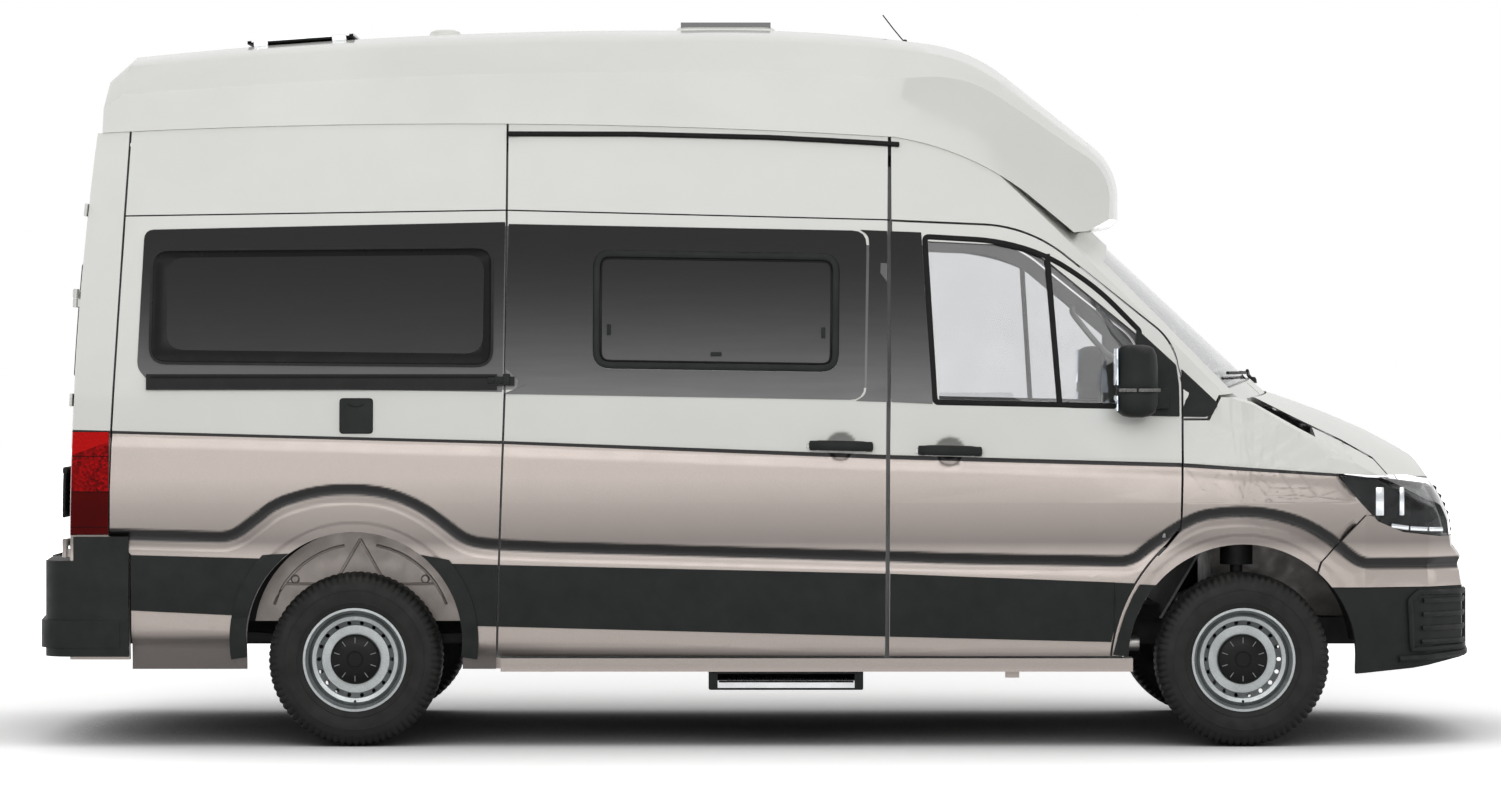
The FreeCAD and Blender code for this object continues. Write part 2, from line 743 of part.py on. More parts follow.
lampSides = boxBetween(2300, 3400, lampInner, wide, 0, 2000)
lamp = noseSkin.common(lampLine).common(lampSides)
shapeFeature("headlights", pairOf(lamp))

paintedRegion = acrossVan([
    (2276 + gap, noseSplit + 3), (2306 + gap, 757), (2490 + gap, 949), (2560, 935), (3100, 935),
    (3100, noseSplit + 3)])
painted = noseSkin.common(paintedRegion)
painted = painted.cut(grown(lampOutline, 4)).cut(frontArch)
painted = painted.cut(boxBetween(2300, 3400, -lampInner + 12, lampInner - 12, 845, 2000))
shapeFeature("front_bumper", painted)

lower = noseSkin.common(acrossVan(above(chinLine, noseSplit))).common(acrossVan(ahead([(2300, 0), (2300, 900)])))
lower = lower.cut(frontArch)
shapeFeature("lower_bumper", lower)

grille = noseSkin.common(boxBetween(2500, 3200, -lampInner + 14, lampInner - 14, 848, 1052))
shapeFeature("grille", grille)

# Cross panel that carries the lamps, grille and bumpers, on the ends of the rails
carried = wall + size("seat_clearance")
frontPanel = skin(noseBody, carried, carried + 25).common(boxBetween(2500, 3000, -860, 860, 400, 1060))
shapeFeature("front_panel", frontPanel)

# ---- high roof --------------------------------------------------------------

roofTopZ = size("roof_height")
lipZ = 2148
# Side outlines of the cap at steps across the van. Columns: distance from the
# middle, drop of the top, and how far the nose stands back.
roofSteps = [(0, 0, 0), (430, 18, 25), (680, 80, 60), (885, 245, 110), (1010, 390, 170)]
# Middle outline. Columns: distance ahead of the origin, height over the lip,
# share of the nose's setback, and 1 where the point is the middle of an arc.
roofMiddle = [
    (-2713, -240, 0, 0), (-2688, 652, 0, 0), (-2610, 725, 0, 0), (-1400, 819, 0, 1), (-300, 842, 0, 0),
    (250, 832, 0, 1), (690, 788, 0, 0), (900, 737, 0.4, 1), (1070, 637, 0.7, 0), (1440, 342, 1, 0),
    (1520, 240, 1, 1), (1546, 137, 1, 0), (1546, 22, 1, 0), (1520, 0, 1, 0), (1372, -30, 0, 0),
    (1200, -240, 0, 0),
]


def roofOutline(drop, back, inset):
    fullRise = roofTopZ - lipZ
    share = (fullRise - drop) / fullRise
    outline = []
    for x, rise, setback, isMiddle in roofMiddle:
        inward = inset if x < -2000 else -inset * setback
        z = lipZ + rise * (share if rise > 0 else 1)
        z += -inset if rise > 150 else (inset if rise > -100 else 0)
        spot = (x - back * setback + inward, z)
        outline.append(spot + ("via",) if isMiddle else spot)
    return outline


def roofBody(inset):
    wires = []
    for distance, drop, back in reversed(roofSteps[1:]):
        outline = roofOutline(drop, back, inset)
        wires.append(Part.Wire(outlineEdges(outline, lambda x, z: Vector(x, -distance, z))))
    for distance, drop, back in roofSteps:
        outline = roofOutline(drop, back, inset)
        wires.append(Part.Wire(outlineEdges(outline, lambda x, z: Vector(x, distance, z))))
    block = Part.makeLoft(wires, True, True)
    return block.common(flankEnvelope(inset - size("roof_proud")))


roof = roofBody(0).cut(roofBody(size("roof_wall"))).common(acrossVan(above(gutterLine)))
shapeFeature("high_roof", roof)

# ---- inner frame and floor --------------------------------------------------

seat = size("seat_clearance")
frameDepth = 42
floorTop = size("floor_height")
floorFoot = floorTop - size("floor_thickness")


def flankBand(outer, inner, fromX, toX, fromZ, toZ):
    band = skin(flankEnvelope, outer, inner)
    return band.common(boxBetween(fromX, toX, -wide, wide, fromZ, toZ))


cleared = wall + size("door_clearance")
postInner = wall + frameDepth
doorGapX = 540
sillTop = doorZ - gap
postBack = 1752
bulkheadX = 1900
postTop = 1330
frameParts = [
    flankBand(cleared, postInner, rearAxleX + 455, 1500, sillTop, floorFoot),   # inner sill
    flankBand(cleared, postInner, 470, 610, sillTop, 2380),                     # middle pillar
    flankBand(carried, postInner, 470, doorGapX - 6, sillTop, 2440),
    flankBand(carried, postInner, -1068, -1002, sillTop, 2440),                 # pillar by the sliding door
    flankBand(carried, postInner, -2600, -2530, 880, 2440),                     # rear pillar
    flankBand(carried, postInner, -2600, doorGapX - 6, 2380, 2440),             # roof rail
    flankBand(carried, postInner, postBack, bulkheadX + 12, 815, postTop).cut(grownArch(24)),
]
footPost = flankBand(cleared, postInner, 1400, 1700, sillTop, 815).cut(grown(doorOutline, -45))
archPlate = flankBand(wall + 80, wall + 100, 1440, bulkheadX + 12, floorTop + 5, 862).common(grownArch(75))
bulkhead = boxBetween(bulkheadX, bulkheadX + 12, -wide, wide, 858, 1374.6).fuse(
    sidePrism([(bulkheadX, 858), (bulkheadX + 12, 858), (1700, floorFoot), (1688, floorFoot)], -520, 520))
footing = joined([footPost, archPlate]).cut(grownArch(24))
footing = footing.cut(boxBetween(1300, 1800, -size("floor_half_width") - 3, size("floor_half_width") + 3, floorFoot, floorTop + 5))
frameParts += [footing, bulkhead.common(flankEnvelope(carried))]
for z in doorHingeHeights:
    frameParts += [doorHingeArm(z), mirrored(doorHingeArm(z))]
bodyFrame = joined(frameParts)
shapeFeature("body_frame", bodyFrame)

sillSkin = skin(flankEnvelope, 0, 110)
underDoors = [
    sillSkin.common(boxBetween(-1048, 1540, -wide, 0, 308, sillTop)),
    sillSkin.common(boxBetween(doorGapX, 1540, 0, wide, 308, sillTop)),
    skin(flankEnvelope, carried, 110).common(boxBetween(rearAxleX + 455, 1540, -wide, wide, 318, sillTop)),
]
jackBrackets = {  # place along the van and lowest height
    "rear": (-858, 304),
    "front": (1050, 280),
}
for alongX, footZ in jackBrackets.values():
    for sign in (1, -1):
        edges = sorted((sign * 899, sign * 933))
        underDoors.append(boxBetween(alongX - 28, alongX + 28, edges[0], edges[1], footZ, sillTop))
shapeFeature("sills", joined(underDoors))

# Floor with wheel boxes cut out, and a ladder frame below
wheelBoxInner = 690
toeX = "1519"
floorBody = raisedBody("floor_pan", "XY_Plane", [[
    ("222 - body_length / 2", "-floor_half_width"),
    (rearAxleText + " - 470", "-floor_half_width"), (rearAxleText + " - 470", "-690"),
    (rearAxleText + " + 470", "-690"), (rearAxleText + " + 470", "-floor_half_width"),
    (toeX, "-floor_half_width"), (toeX, "-540"), ("1688", "-540"), ("1688", "540"), (toeX, "540"),
    (toeX, "floor_half_width"),
    (rearAxleText + " + 470", "floor_half_width"), (rearAxleText + " + 470", "690"),
    (rearAxleText + " - 470", "690"), (rearAxleText + " - 470", "floor_half_width"),
    ("222 - body_length / 2", "floor_half_width"),
]], "floor_thickness")
placeBy(floorBody, "0", "0", "floor_height - floor_thickness")
keep(floorBody, "floor_pan")

outerRail = "(rail_half_spacing + rail_width / 2)"
innerRail = "(rail_half_spacing - rail_width / 2)"
ladder = [boxLoop(str(tailX + 190), "body_length / 2 - 99.2", "-" + outerRail, outerRail)]
crossings = [tailX + 260, -2200, rearAxleX + 330, -500, 350, 1250, 1700, 2490, noseX - 140]
for back, front in zip(crossings, crossings[1:]):
    ladder.append(boxLoop(str(back + 35), str(front - 35), "-" + innerRail, innerRail))
towHoles = [("%s - body_length / 2" % ahead, side + "rail_half_spacing", "tow_hole_radius")
            for ahead in ("353", "353 + tow_hole_spacing") for side in ("-", "")]
railBody = raisedBody("chassis_rails", "XY_Plane", ladder, "rail_depth", towHoles)
placeBy(railBody, "0", "0", "floor_height - floor_thickness - rail_depth")
keep(railBody, "chassis_rails")

# ---- running gear -----------------------------------------------------------

wheelY = "track_width / 2"
tyreCorners = [
    ("rim_radius", "-(tyre_width / 2 - 14)"), ("rim_radius + 10", "-(tyre_width / 2 - 14)"),
    ("rim_radius + 60", "-tyre_width / 2"),
    ("tyre_radius - 40", "-(tyre_width / 2 - 3)"), ("tyre_radius - 10", "-(tyre_width / 2 - 22)"),
    ("tyre_radius", "-(tyre_width / 2 - 48)"), ("tyre_radius", "tyre_width / 2 - 48"),
    ("tyre_radius - 10", "tyre_width / 2 - 22"), ("tyre_radius - 40", "tyre_width / 2 - 3"),
    ("rim_radius + 60", "tyre_width / 2"), ("rim_radius + 10", "tyre_width / 2 - 14"),
    ("rim_radius", "tyre_width / 2 - 14"),
]
# Steel wheel, outer face toward +across before it is placed
rimCorners = [
    ("0", "32"), ("38", "32"), ("74", "62"), ("96", "62"), ("104", "46"), ("138", "46"), ("160", "74"),
    ("176", "78"), ("rim_radius - 12", "60"), ("rim_radius - 12", "88"), ("rim_radius - 1", "106"),
    ("rim_radius + 9", "106"), ("rim_radius + 9", "104"), ("rim_radius - seat_clearance", "103.8"),
    ("rim_radius - seat_clearance", "-103.8"),
    ("rim_radius + 9", "-104"), ("rim_radius + 9", "-106"), ("rim_radius - 6", "-106"), ("rim_radius - 18", "-60"),
    ("rim_radius - 18", "52"), ("176", "66"), ("162", "62"), ("140", "34"), ("102", "34"), ("92", "50"),
    ("76", "50"), ("60", "20"), ("0", "20"),
]
rimHoles = 18
axles = [("front", frontAxleText, 1), ("rear", rearAxleText, 0)]
for axleName, axleText, steered in axles:
    for side, sign in (("left", 1), ("right", -1)):
        label = "%s_%s" % (axleName, side)
        tyre = turnedBody(label + "_tyre", tyreCorners)
        placeBy(tyre, axleText, ("" if sign > 0 else "-") + wheelY, "tyre_radius")
        keep(tyre, label + "_tyre")
        rim = turnedBody(label + "_rim", rimCorners)
        holeSketch = rim.newObject("Sketcher::SketchObject", label + "HoleSketch")
        holePlane = [item for item in rim.Origin.OriginFeatures if item.Role == "XZ_Plane"][0]
        holeSketch.AttachmentSupport = [(holePlane, "")]
        holeSketch.MapMode = "FlatFace"
        for hole in range(rimHoles):
            turn = "(%d deg)" % (hole * 360 // rimHoles)
            tieCircle(holeSketch, "rim_hole_circle * cos" + turn, "rim_hole_circle * sin" + turn, "rim_hole_radius")
        pocket = rim.newObject("PartDesign::Pocket", label + "Holes")
        pocket.Profile = holeSketch
        pocket.Type = 1
        pocket.Midplane = True
        if sign < 0:
            rim.Placement = FreeCAD.Placement(Vector(0, 0, 0), FreeCAD.Rotation(Vector(0, 0, 1), 180))
        placeBy(rim, axleText, ("" if sign > 0 else "-") + wheelY, "tyre_radius")
        keep(rim, label + "_rim")

wheelZ = size("tyre_radius")
wheelMid = size("track_width") / 2
hubFace = wheelMid + 20
steerY = wheelMid - 61
armDepth = 30
armEndZ = wheelZ - 176
armRootZ = 258
armRootY = 390
studRadius = 16
armTip = 0
armSlope = (armRootZ - armEndZ) / (steerY + armTip - armRootY)

bearingZ = wheelZ + 144
strutY = 690
strutTopZ = frontArchZ + size("front_arch_radius") + 18

for side, sign in (("left", 1), ("right", -1)):
    # upright with its stub axle, brake disc and steering arm
    stub = Part.makeCylinder(34, 96, Vector(frontAxleX, hubFace - 96 - pinPlay, wheelZ), Vector(0, 1, 0))
    disc = Part.makeCylinder(138, 26, Vector(frontAxleX, wheelMid - 40, wheelZ), Vector(0, 1, 0))
    upright = boxBetween(frontAxleX - 45, frontAxleX + 45, steerY - 30, wheelMid - 38,
                         wheelZ - 120, bearingZ - pinPlay)
    arm = boxBetween(frontAxleX - 150, frontAxleX - 30, steerY - 26, steerY + 4, wheelZ - 60, wheelZ - 34)
    studFoot = armEndZ + armDepth + armSlope * (armTip + studRadius) + pinPlay
    stud = Part.makeCylinder(studRadius, wheelZ - 110 - studFoot, Vector(frontAxleX, steerY, studFoot))
    knuckle = joined([stub, disc, upright, arm, stud])
    shapeFeature(side + "_knuckle", knuckle if sign > 0 else mirrored(knuckle))

# Front subframe with lower arms and struts
subframe = boxBetween(frontAxleX - 230, frontAxleX + 170, -400, 400, 250, 330)
subframe = subframe.cut(boxBetween(frontAxleX - 130, frontAxleX + 70, -300, 300, 200, 400))
railFoot = floorFoot - size("rail_depth")
legs = [boxBetween(frontAxleX + x, frontAxleX + x + 60, y - 30, y + 30, 330, railFoot)
        for x in (-220, 100) for y in (-370, 370)]
lowerArms = []
for sign in (1, -1):
    armFace = Part.Face(Part.makePolygon([
        Vector(frontAxleX - 150, sign * armRootY, armRootZ), Vector(frontAxleX + 110, sign * armRootY, armRootZ),
        Vector(frontAxleX + 32, sign * (steerY + armTip), armEndZ),
        Vector(frontAxleX - 32, sign * (steerY + armTip), armEndZ),
        Vector(frontAxleX - 150, sign * armRootY, armRootZ)]))
    lowerArms.append(armFace.extrude(Vector(0, 0, armDepth)))
    strut = [
        Part.makeCylinder(26, strutTopZ - bearingZ, Vector(frontAxleX, sign * strutY, bearingZ)),
        Part.makeCylinder(68, 96, Vector(frontAxleX, sign * strutY, wheelZ + 380)),
        boxBetween(frontAxleX - 30, frontAxleX + 30, min(sign * (strutY - 10), sign * (steerY + 16)),
                   max(sign * (strutY - 10), sign * (steerY + 16)), bearingZ, bearingZ + 20),
    ]
    lowerArms.append(joined(strut))
underLiner = cylinderAcross(frontArchX, frontArchZ, size("front_arch_radius") + 18 - size("seat_clearance"), -wide, wide)
suspension = joined([subframe] + legs + lowerArms).common(underLiner)
shapeFeature("front_suspension", suspension)

# Rear beam axle on leaf springs with dampers
beamRadius = 33
beam = Part.makeCylinder(beamRadius, 2 * (hubFace - pinPlay), Vector(rearAxleX, -hubFace + pinPlay, wheelZ), Vector(0, 1, 0))
drums = [Part.makeCylinder(140, 40, Vector(rearAxleX, sign * (wheelMid - 40) - 20, wheelZ), Vector(0, 1, 0))
         for sign in (1, -1)]
shapeFeature("rear_axle", joined([beam] + drums))

springY = 560
leaves = []
for sign in (1, -1):
    springProfile = sidePrism([
        (rearAxleX - 700, 440), (rearAxleX, wheelZ + beamRadius + pinPlay, "via"), (rearAxleX + 700, 440),
        (rearAxleX + 700, 470), (rearAxleX, wheelZ + beamRadius + 40, "via"), (rearAxleX - 700, 470)],
        sign * springY - 35, sign * springY + 35)
    shackles = [boxBetween(rearAxleX + x - 30, rearAxleX + x + 30, sign * springY - 45, sign * springY + 45,
                           440, floorFoot) for x in (-690, 690)]
    leaves.append(joined([springProfile] + shackles))
shapeFeature("rear_springs", Part.makeCompound(leaves))

engineBlock = doc.addObject("Part::Box", "engine_block")
engineBlock.Length = 560
engineBlock.Width = 620
engineBlock.Height = 640
placeBy(engineBlock, frontAxleText + " - 60", "-310", "floor_height - floor_thickness + seat_clearance")
keep(engineBlock, "engine_block")

tank = raisedBody("fuel_tank", "XY_Plane", [boxLoop("-250", "900", "480", "860")], "190")
placeBy(tank, "0", "0", "floor_height - floor_thickness - 190")
keep(tank, "fuel_tank")

pipe = Part.makeCylinder(34, 2300, Vector(-700, -560, 400), Vector(1, 0, 0))
silencer = Part.makeCylinder(90, 620, Vector(-620, -560, floorFoot - 90 - seat), Vector(1, 0, 0))
shapeFeature("exhaust", pipe.fuse(silencer))

# Rear wheel boxes over the tyres and front liners
innerBox = cylinderAcross(rearAxleX, archZ, size("arch_radius") + 28, wheelBoxInner, 962)
innerHollow = cylinderAcross(rearAxleX, archZ, size("arch_radius") + 24, wheelBoxInner + 5, 1000)
rearBox = innerBox.cut(innerHollow).cut(
    boxBetween(-4000, 0, -wide, wide, -100, floorFoot)).common(flankEnvelope(carried))
linerOut = cylinderAcross(frontArchX, frontArchZ, size("front_arch_radius") + 22, 600, 975)
linerIn = cylinderAcross(frontArchX, frontArchZ, size("front_arch_radius") + 18, 580, 1000)
liner = linerOut.cut(linerIn).cut(boxBetween(0, 4000, 0, 2000, -100, 420)).common(flankEnvelope(carried))
shapeFeature("wheel_housings", Part.makeCompound([rearBox, mirrored(rearBox), liner, mirrored(liner)]))

# ---- tail bumper and cladding -----------------------------------------------

bumperTop = rearDoorFoot - gap
bumperPlan = [
    (-2565, -1032), (-2800, -1028), (-2895, -985, "via"), (-2915, -900), (tailX + 30, 0, "via"), (-2915, 900),
    (-2895, 985, "via"), (-2800, 1028), (-2565, 1032)]
stepPlan = [
    (-2600, -1034), (-2800, -1032), (-2912, -985, "via"), (-2935, -900), (tailX, 0, "via"), (-2935, 900),
    (-2912, 985, "via"), (-2800, 1032), (-2600, 1034)]
mainBumper = planPrism(bumperPlan, 372, bumperTop).fuse(planPrism(stepPlan, 408, 520))
mainBumper = mainBumper.fuse(planPrism([
    (-2565, -1032), (-2790, -1028), (-2790, 1028), (-2565, 1032)], bumperTop, 862))
mainBumper = mainBumper.cut(flankEnvelope(-seat).cut(tailOutside(-seat)))
mainBumper = mainBumper.cut(boxBetween(-3300, -2560, -600, 600, 300, 371))
shapeFeature("rear_bumper", mainBumper)

cladThick = 8
cladProfile = [
    (-2556, 560), (-1290, 500), (533, 453), (1466, 430), (1466, 675), (533, 711), (-1040, 746), (-2556, 787),
]
cladArea = skin(flankEnvelope, -cladThick, -seat).common(acrossVan(cladProfile)).cut(rearArch)
behindDoor = acrossVan(behind(shifted(slideFrontX, -gap)))
cladPieces = [
    cladArea.common(rightHalf).common(acrossVan(behind(shifted(slideRearX, -gap)))),
    cladArea.common(rightHalf).common(acrossVan(ahead(slideRearX))).common(behindDoor),
    cladArea.common(leftHalf).common(behindDoor),
]
shapeFeature("side_cladding", Part.makeCompound([solid for piece in cladPieces for solid in piece.Solids]))
for side, half in (("left", leftHalf), ("right", rightHalf)):
    shapeFeature(side + "_door_cladding", cladArea.common(half).common(grown(doorOutline, -2)))

# ---- fittings -----------------------------------------------------------------

for side, sign in (("left", 1), ("right", -1)):
    housing = boxBetween(1450, 1620, 1080, 1210, 1360, 1640)
    housing = housing.makeFillet(30, housing.Edges)
    arm = boxBetween(1540, 1640, 940, 1120, 1375, 1420)
    mirror = housing.fuse(arm).cut(flankEnvelope(-seat))
    shapeFeature(side + "_mirror", mirror if sign > 0 else mirrored(mirror))

panes = [
    skin(flankEnvelope, 9, 15).common(paneRing("rear", -1, -wide, wide)),
    skin(flankEnvelope, 9, 15).common(paneRing("middle", -1, -wide, wide)),
]
shapeFeature("side_windows", Part.makeCompound(panes))

rail = skin(flankEnvelope, -14, -seat).common(boxBetween(-2496, -1062, -wide, 0, 1462, 1526))
railEnd = skin(flankEnvelope, -16, -seat).common(boxBetween(-1075, -990, -wide, 0, 1480, 1516))
shapeFeature("slide_rail", rail.fuse(railEnd))

dashBack = bulkheadX - seat
dashHalf = 845
dash = sidePrism([
    (1420, 1180), (1700, 1290), (dashBack, 1330), (dashBack, 900), (1560, 900), (1500, 1050)], -dashHalf, dashHalf)
shapeFeature("dashboard", dash)

# Steering wheel on its column, leaning back at the driver
steerRing = Part.makeTorus(190, 14)
spokes = [Part.makeBox(24, 380, 12, Vector(-12, -190, -6)), Part.makeBox(190, 24, 12, Vector(-190, -12, -6))]
hub = Part.makeCylinder(55, 40, Vector(0, 0, -30))
column = Part.makeCylinder(36, 320, Vector(0, 0, -330))
steering = joined([steerRing, hub, column] + spokes)
steering.Placement = FreeCAD.Placement(Vector(1290, 420, 1230), FreeCAD.Rotation(Vector(0, 1, 0), -62))
shapeFeature("steering_wheel", steering.cut(sidePrism([
    (1420, 1180), (1700, 1290), (dashBack, 1330), (dashBack, 900), (1560, 900), (1500, 1050)], 0, wide)))

seats = []
for y in (-430, 430):
    base = boxBetween(430, 860, y - 200, y + 200, floorTop, 780)
    cushion = boxBetween(400, 930, y - 245, y + 245, 780, 920)
    back = sidePrism([(330, 880), (470, 920), (380, 1480), (270, 1470)], y - 235, y + 235)
    seats.append(joined([base, cushion, back]))
shapeFeature("cab_seats", Part.makeCompound(seats))

stepBox = boxBetween(-188, 430, -965, -520, 232, 308)
stepBox = stepBox.cut(boxBetween(-160, 402, -1000, -560, 240, 298))
shapeFeature("step_housing", stepBox)
treadBody = raisedBody("entry_step", "XY_Plane", [boxLoop("-159.6", "401.6", "-962", "-600")], "30")
placeBy(treadBody, "0", "0", "240.4")
keep(treadBody, "entry_step")

skylight = boxBetween(-320, 60, -350, 350, roofTopZ - 30, roofTopZ + 22).cut(roofBody(-seat))
shapeFeature("skylight", skylight)
panel = boxBetween(-2150, -1700, -400, 400, 2880, 2965).cut(roofBody(-seat))
shapeFeature("solar_panel", panel)
vent = Part.makeCylinder(75, 60, Vector(-1340, -100, 2950)).cut(roofBody(-seat))
whip = Part.makeCylinder(5, 190, Vector(693, 0, 2930), Vector(-0.65, 0, 0.75)).cut(roofBody(-seat))
shapeFeature("roof_fittings", Part.makeCompound([vent, whip]))

# ---- write the sub-parts --------------------------------------------------------

doc.recompute()
for item in doc.Objects:
    if "Invalid" in item.State or "Error" in item.State:
        raise RuntimeError("%s failed to recompute" % item.Name)
os.makedirs("parts", exist_ok=True)
for item in subParts:
    if item.Shape.isNull() or not item.Shape.isValid() or item.Shape.Volume < 1:
        raise RuntimeError("%s has no valid shape" % item.Label)
    item.Shape.exportStep("parts/%s.step" % item.Label)
print("wrote %d sub-parts" % len(subParts))
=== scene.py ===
# High-roof camper van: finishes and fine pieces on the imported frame, in metres.
import json
import math
import bmesh
import bpy
from mathutils import Matrix, Vector
from mathutils.bvhtree import BVHTree

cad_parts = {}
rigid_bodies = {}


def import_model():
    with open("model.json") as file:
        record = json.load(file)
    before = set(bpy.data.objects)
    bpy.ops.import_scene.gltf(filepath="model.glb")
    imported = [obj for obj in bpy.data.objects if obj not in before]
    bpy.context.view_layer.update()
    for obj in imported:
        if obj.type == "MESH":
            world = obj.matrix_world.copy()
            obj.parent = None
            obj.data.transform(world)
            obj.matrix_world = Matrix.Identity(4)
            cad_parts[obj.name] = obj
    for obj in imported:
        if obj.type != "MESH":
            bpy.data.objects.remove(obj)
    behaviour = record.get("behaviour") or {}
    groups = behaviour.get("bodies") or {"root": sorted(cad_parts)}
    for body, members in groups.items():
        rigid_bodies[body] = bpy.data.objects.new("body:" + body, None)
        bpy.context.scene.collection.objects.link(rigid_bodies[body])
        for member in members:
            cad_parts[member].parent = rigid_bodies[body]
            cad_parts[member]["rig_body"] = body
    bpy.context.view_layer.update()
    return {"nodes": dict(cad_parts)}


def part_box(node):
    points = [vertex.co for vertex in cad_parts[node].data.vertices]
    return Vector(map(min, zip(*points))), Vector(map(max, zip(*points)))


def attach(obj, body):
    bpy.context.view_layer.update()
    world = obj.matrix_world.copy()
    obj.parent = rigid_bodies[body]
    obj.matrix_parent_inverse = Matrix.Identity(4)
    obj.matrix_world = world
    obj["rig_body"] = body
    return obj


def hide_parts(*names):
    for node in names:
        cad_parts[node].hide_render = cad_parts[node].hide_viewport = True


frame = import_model()
nodes = frame["nodes"]
hands = ((-1, "right"), (1, "left"))


def corners(node):
    low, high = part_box(node)
    return Vector(low), Vector(high)


# shader building


def join(look, value, socket):
    if isinstance(value, bpy.types.NodeSocket):
        look.node_tree.links.new(value, socket)
    else:
        socket.default_value = value


def put(look, kind, sockets=None, **settings):
    made = look.node_tree.nodes.new("ShaderNode" + kind)
    for setting, value in settings.items():
        setattr(made, setting, value)
    for socket, value in (sockets or {}).items():
        join(look, value, made.inputs[socket])
    return made


def maths(look, operation, first, second=0.0):
    return put(look, "Math", {0: first, 1: second}, operation=operation).outputs[0]


def times(look, first, second):
    return maths(look, "MULTIPLY", first, second)


def blendColour(look, share, first, second):
    mixer = put(look, "Mix", data_type="RGBA")
    for socket, value in ((0, share), (6, first), (7, second)):
        if isinstance(value, (tuple, list)) and len(value) == 3:
            value = tuple(value) + (1.0,)
        join(look, value, mixer.inputs[socket])
    return mixer.outputs[2]


def atRest(look):  # where a point was before any door or wheel moved
    return put(look, "TexCoord").outputs["Object"]


def axes(look, vector):
    return put(look, "SeparateXYZ", {0: vector}).outputs


def noise(look, where, scale, detail=3.0, rough=0.55, stretch=None):
    if stretch:
        where = put(look, "Mapping", {"Vector": where, "Scale": stretch}).outputs[0]
    return put(look, "TexNoise", {"Vector": where, "Scale": scale, "Detail": detail, "Roughness": rough}).outputs[0]


def cells(look, where, scale, **settings):
    return put(look, "TexVoronoi", {"Vector": where, "Scale": scale}, **settings).outputs


def between(look, value, low, high, newLow=0.0, newHigh=1.0):
    sockets = {0: value, 1: low, 2: high, 3: newLow, 4: newHigh}
    return put(look, "MapRange", sockets, clamp=True).outputs[0]


def inBand(look, value, low, high):
    return times(look, maths(look, "GREATER_THAN", value, low), maths(look, "LESS_THAN", value, high))


def bump(look, height, strength, distance):  # distance in metres
    return put(look, "Bump", {"Height": height, "Strength": strength, "Distance": distance}).outputs[0]


def newLook(name, **steady):
    look = bpy.data.materials.new(name)
    look.use_nodes = True
    shader = look.node_tree.nodes["Principled BSDF"]
    for socket, value in steady.items():
        shader.inputs[socket].default_value = value
    return look, shader


def finished(look, shader, tone, rough, normal=None):
    join(look, tone, shader.inputs["Base Color"])
    join(look, rough, shader.inputs["Roughness"])
    if normal is not None:
        join(look, normal, shader.inputs["Normal"])
    return look


surfaceUsual = {"dust": 0, "driftScale": 6, "grainTone": 0.2, "grainStrength": 0.25, "stretch": (1, 30, 30)}
dustColour = (0.42, 0.4, 0.36)


def wornSurface(name, colour, kind, scale, depth, rough, spread, shading=None, **more):
    # one grained surface: tone that wanders, dust that settles on what faces up, and a grain
    more = {**surfaceUsual, **more}
    look, shader = newLook(name, **(shading or {}))
    where = atRest(look)
    drift = noise(look, where, more["driftScale"], 4)
    dark, pale, worn = ([min(1, c * share) for c in colour] for share in (1 - spread, 1 + spread, 0.55))
    tone = blendColour(look, between(look, drift, 0.35, 0.65), dark, pale)
    if kind == "pebble":
        grain = cells(look, where, scale, feature="SMOOTH_F1")["Distance"]
    elif kind == "brushed":
        grain = noise(look, where, scale, 2, 0.7, more["stretch"])
    elif kind == "flake":
        grain = axes(look, cells(look, where, scale)["Color"])[0]
    else:
        grain = noise(look, where, scale, 6, 0.65)
    tone = blendColour(look, times(look, grain, more["grainTone"]), tone, worn)
    if more["dust"]:
        upward = between(look, axes(look, put(look, "TexCoord").outputs["Normal"])[2], 0.3, 1.0)
        settled = times(look, upward, between(look, noise(look, where, 14), 0.4, 0.7))
        tone = blendColour(look, times(look, settled, more["dust"]), tone, dustColour)
    uneven = between(look, noise(look, where, more["driftScale"] * 3), 0.3, 0.7, *rough)
    return finished(look, shader, tone, uneven, bump(look, grain, more["grainStrength"], depth))


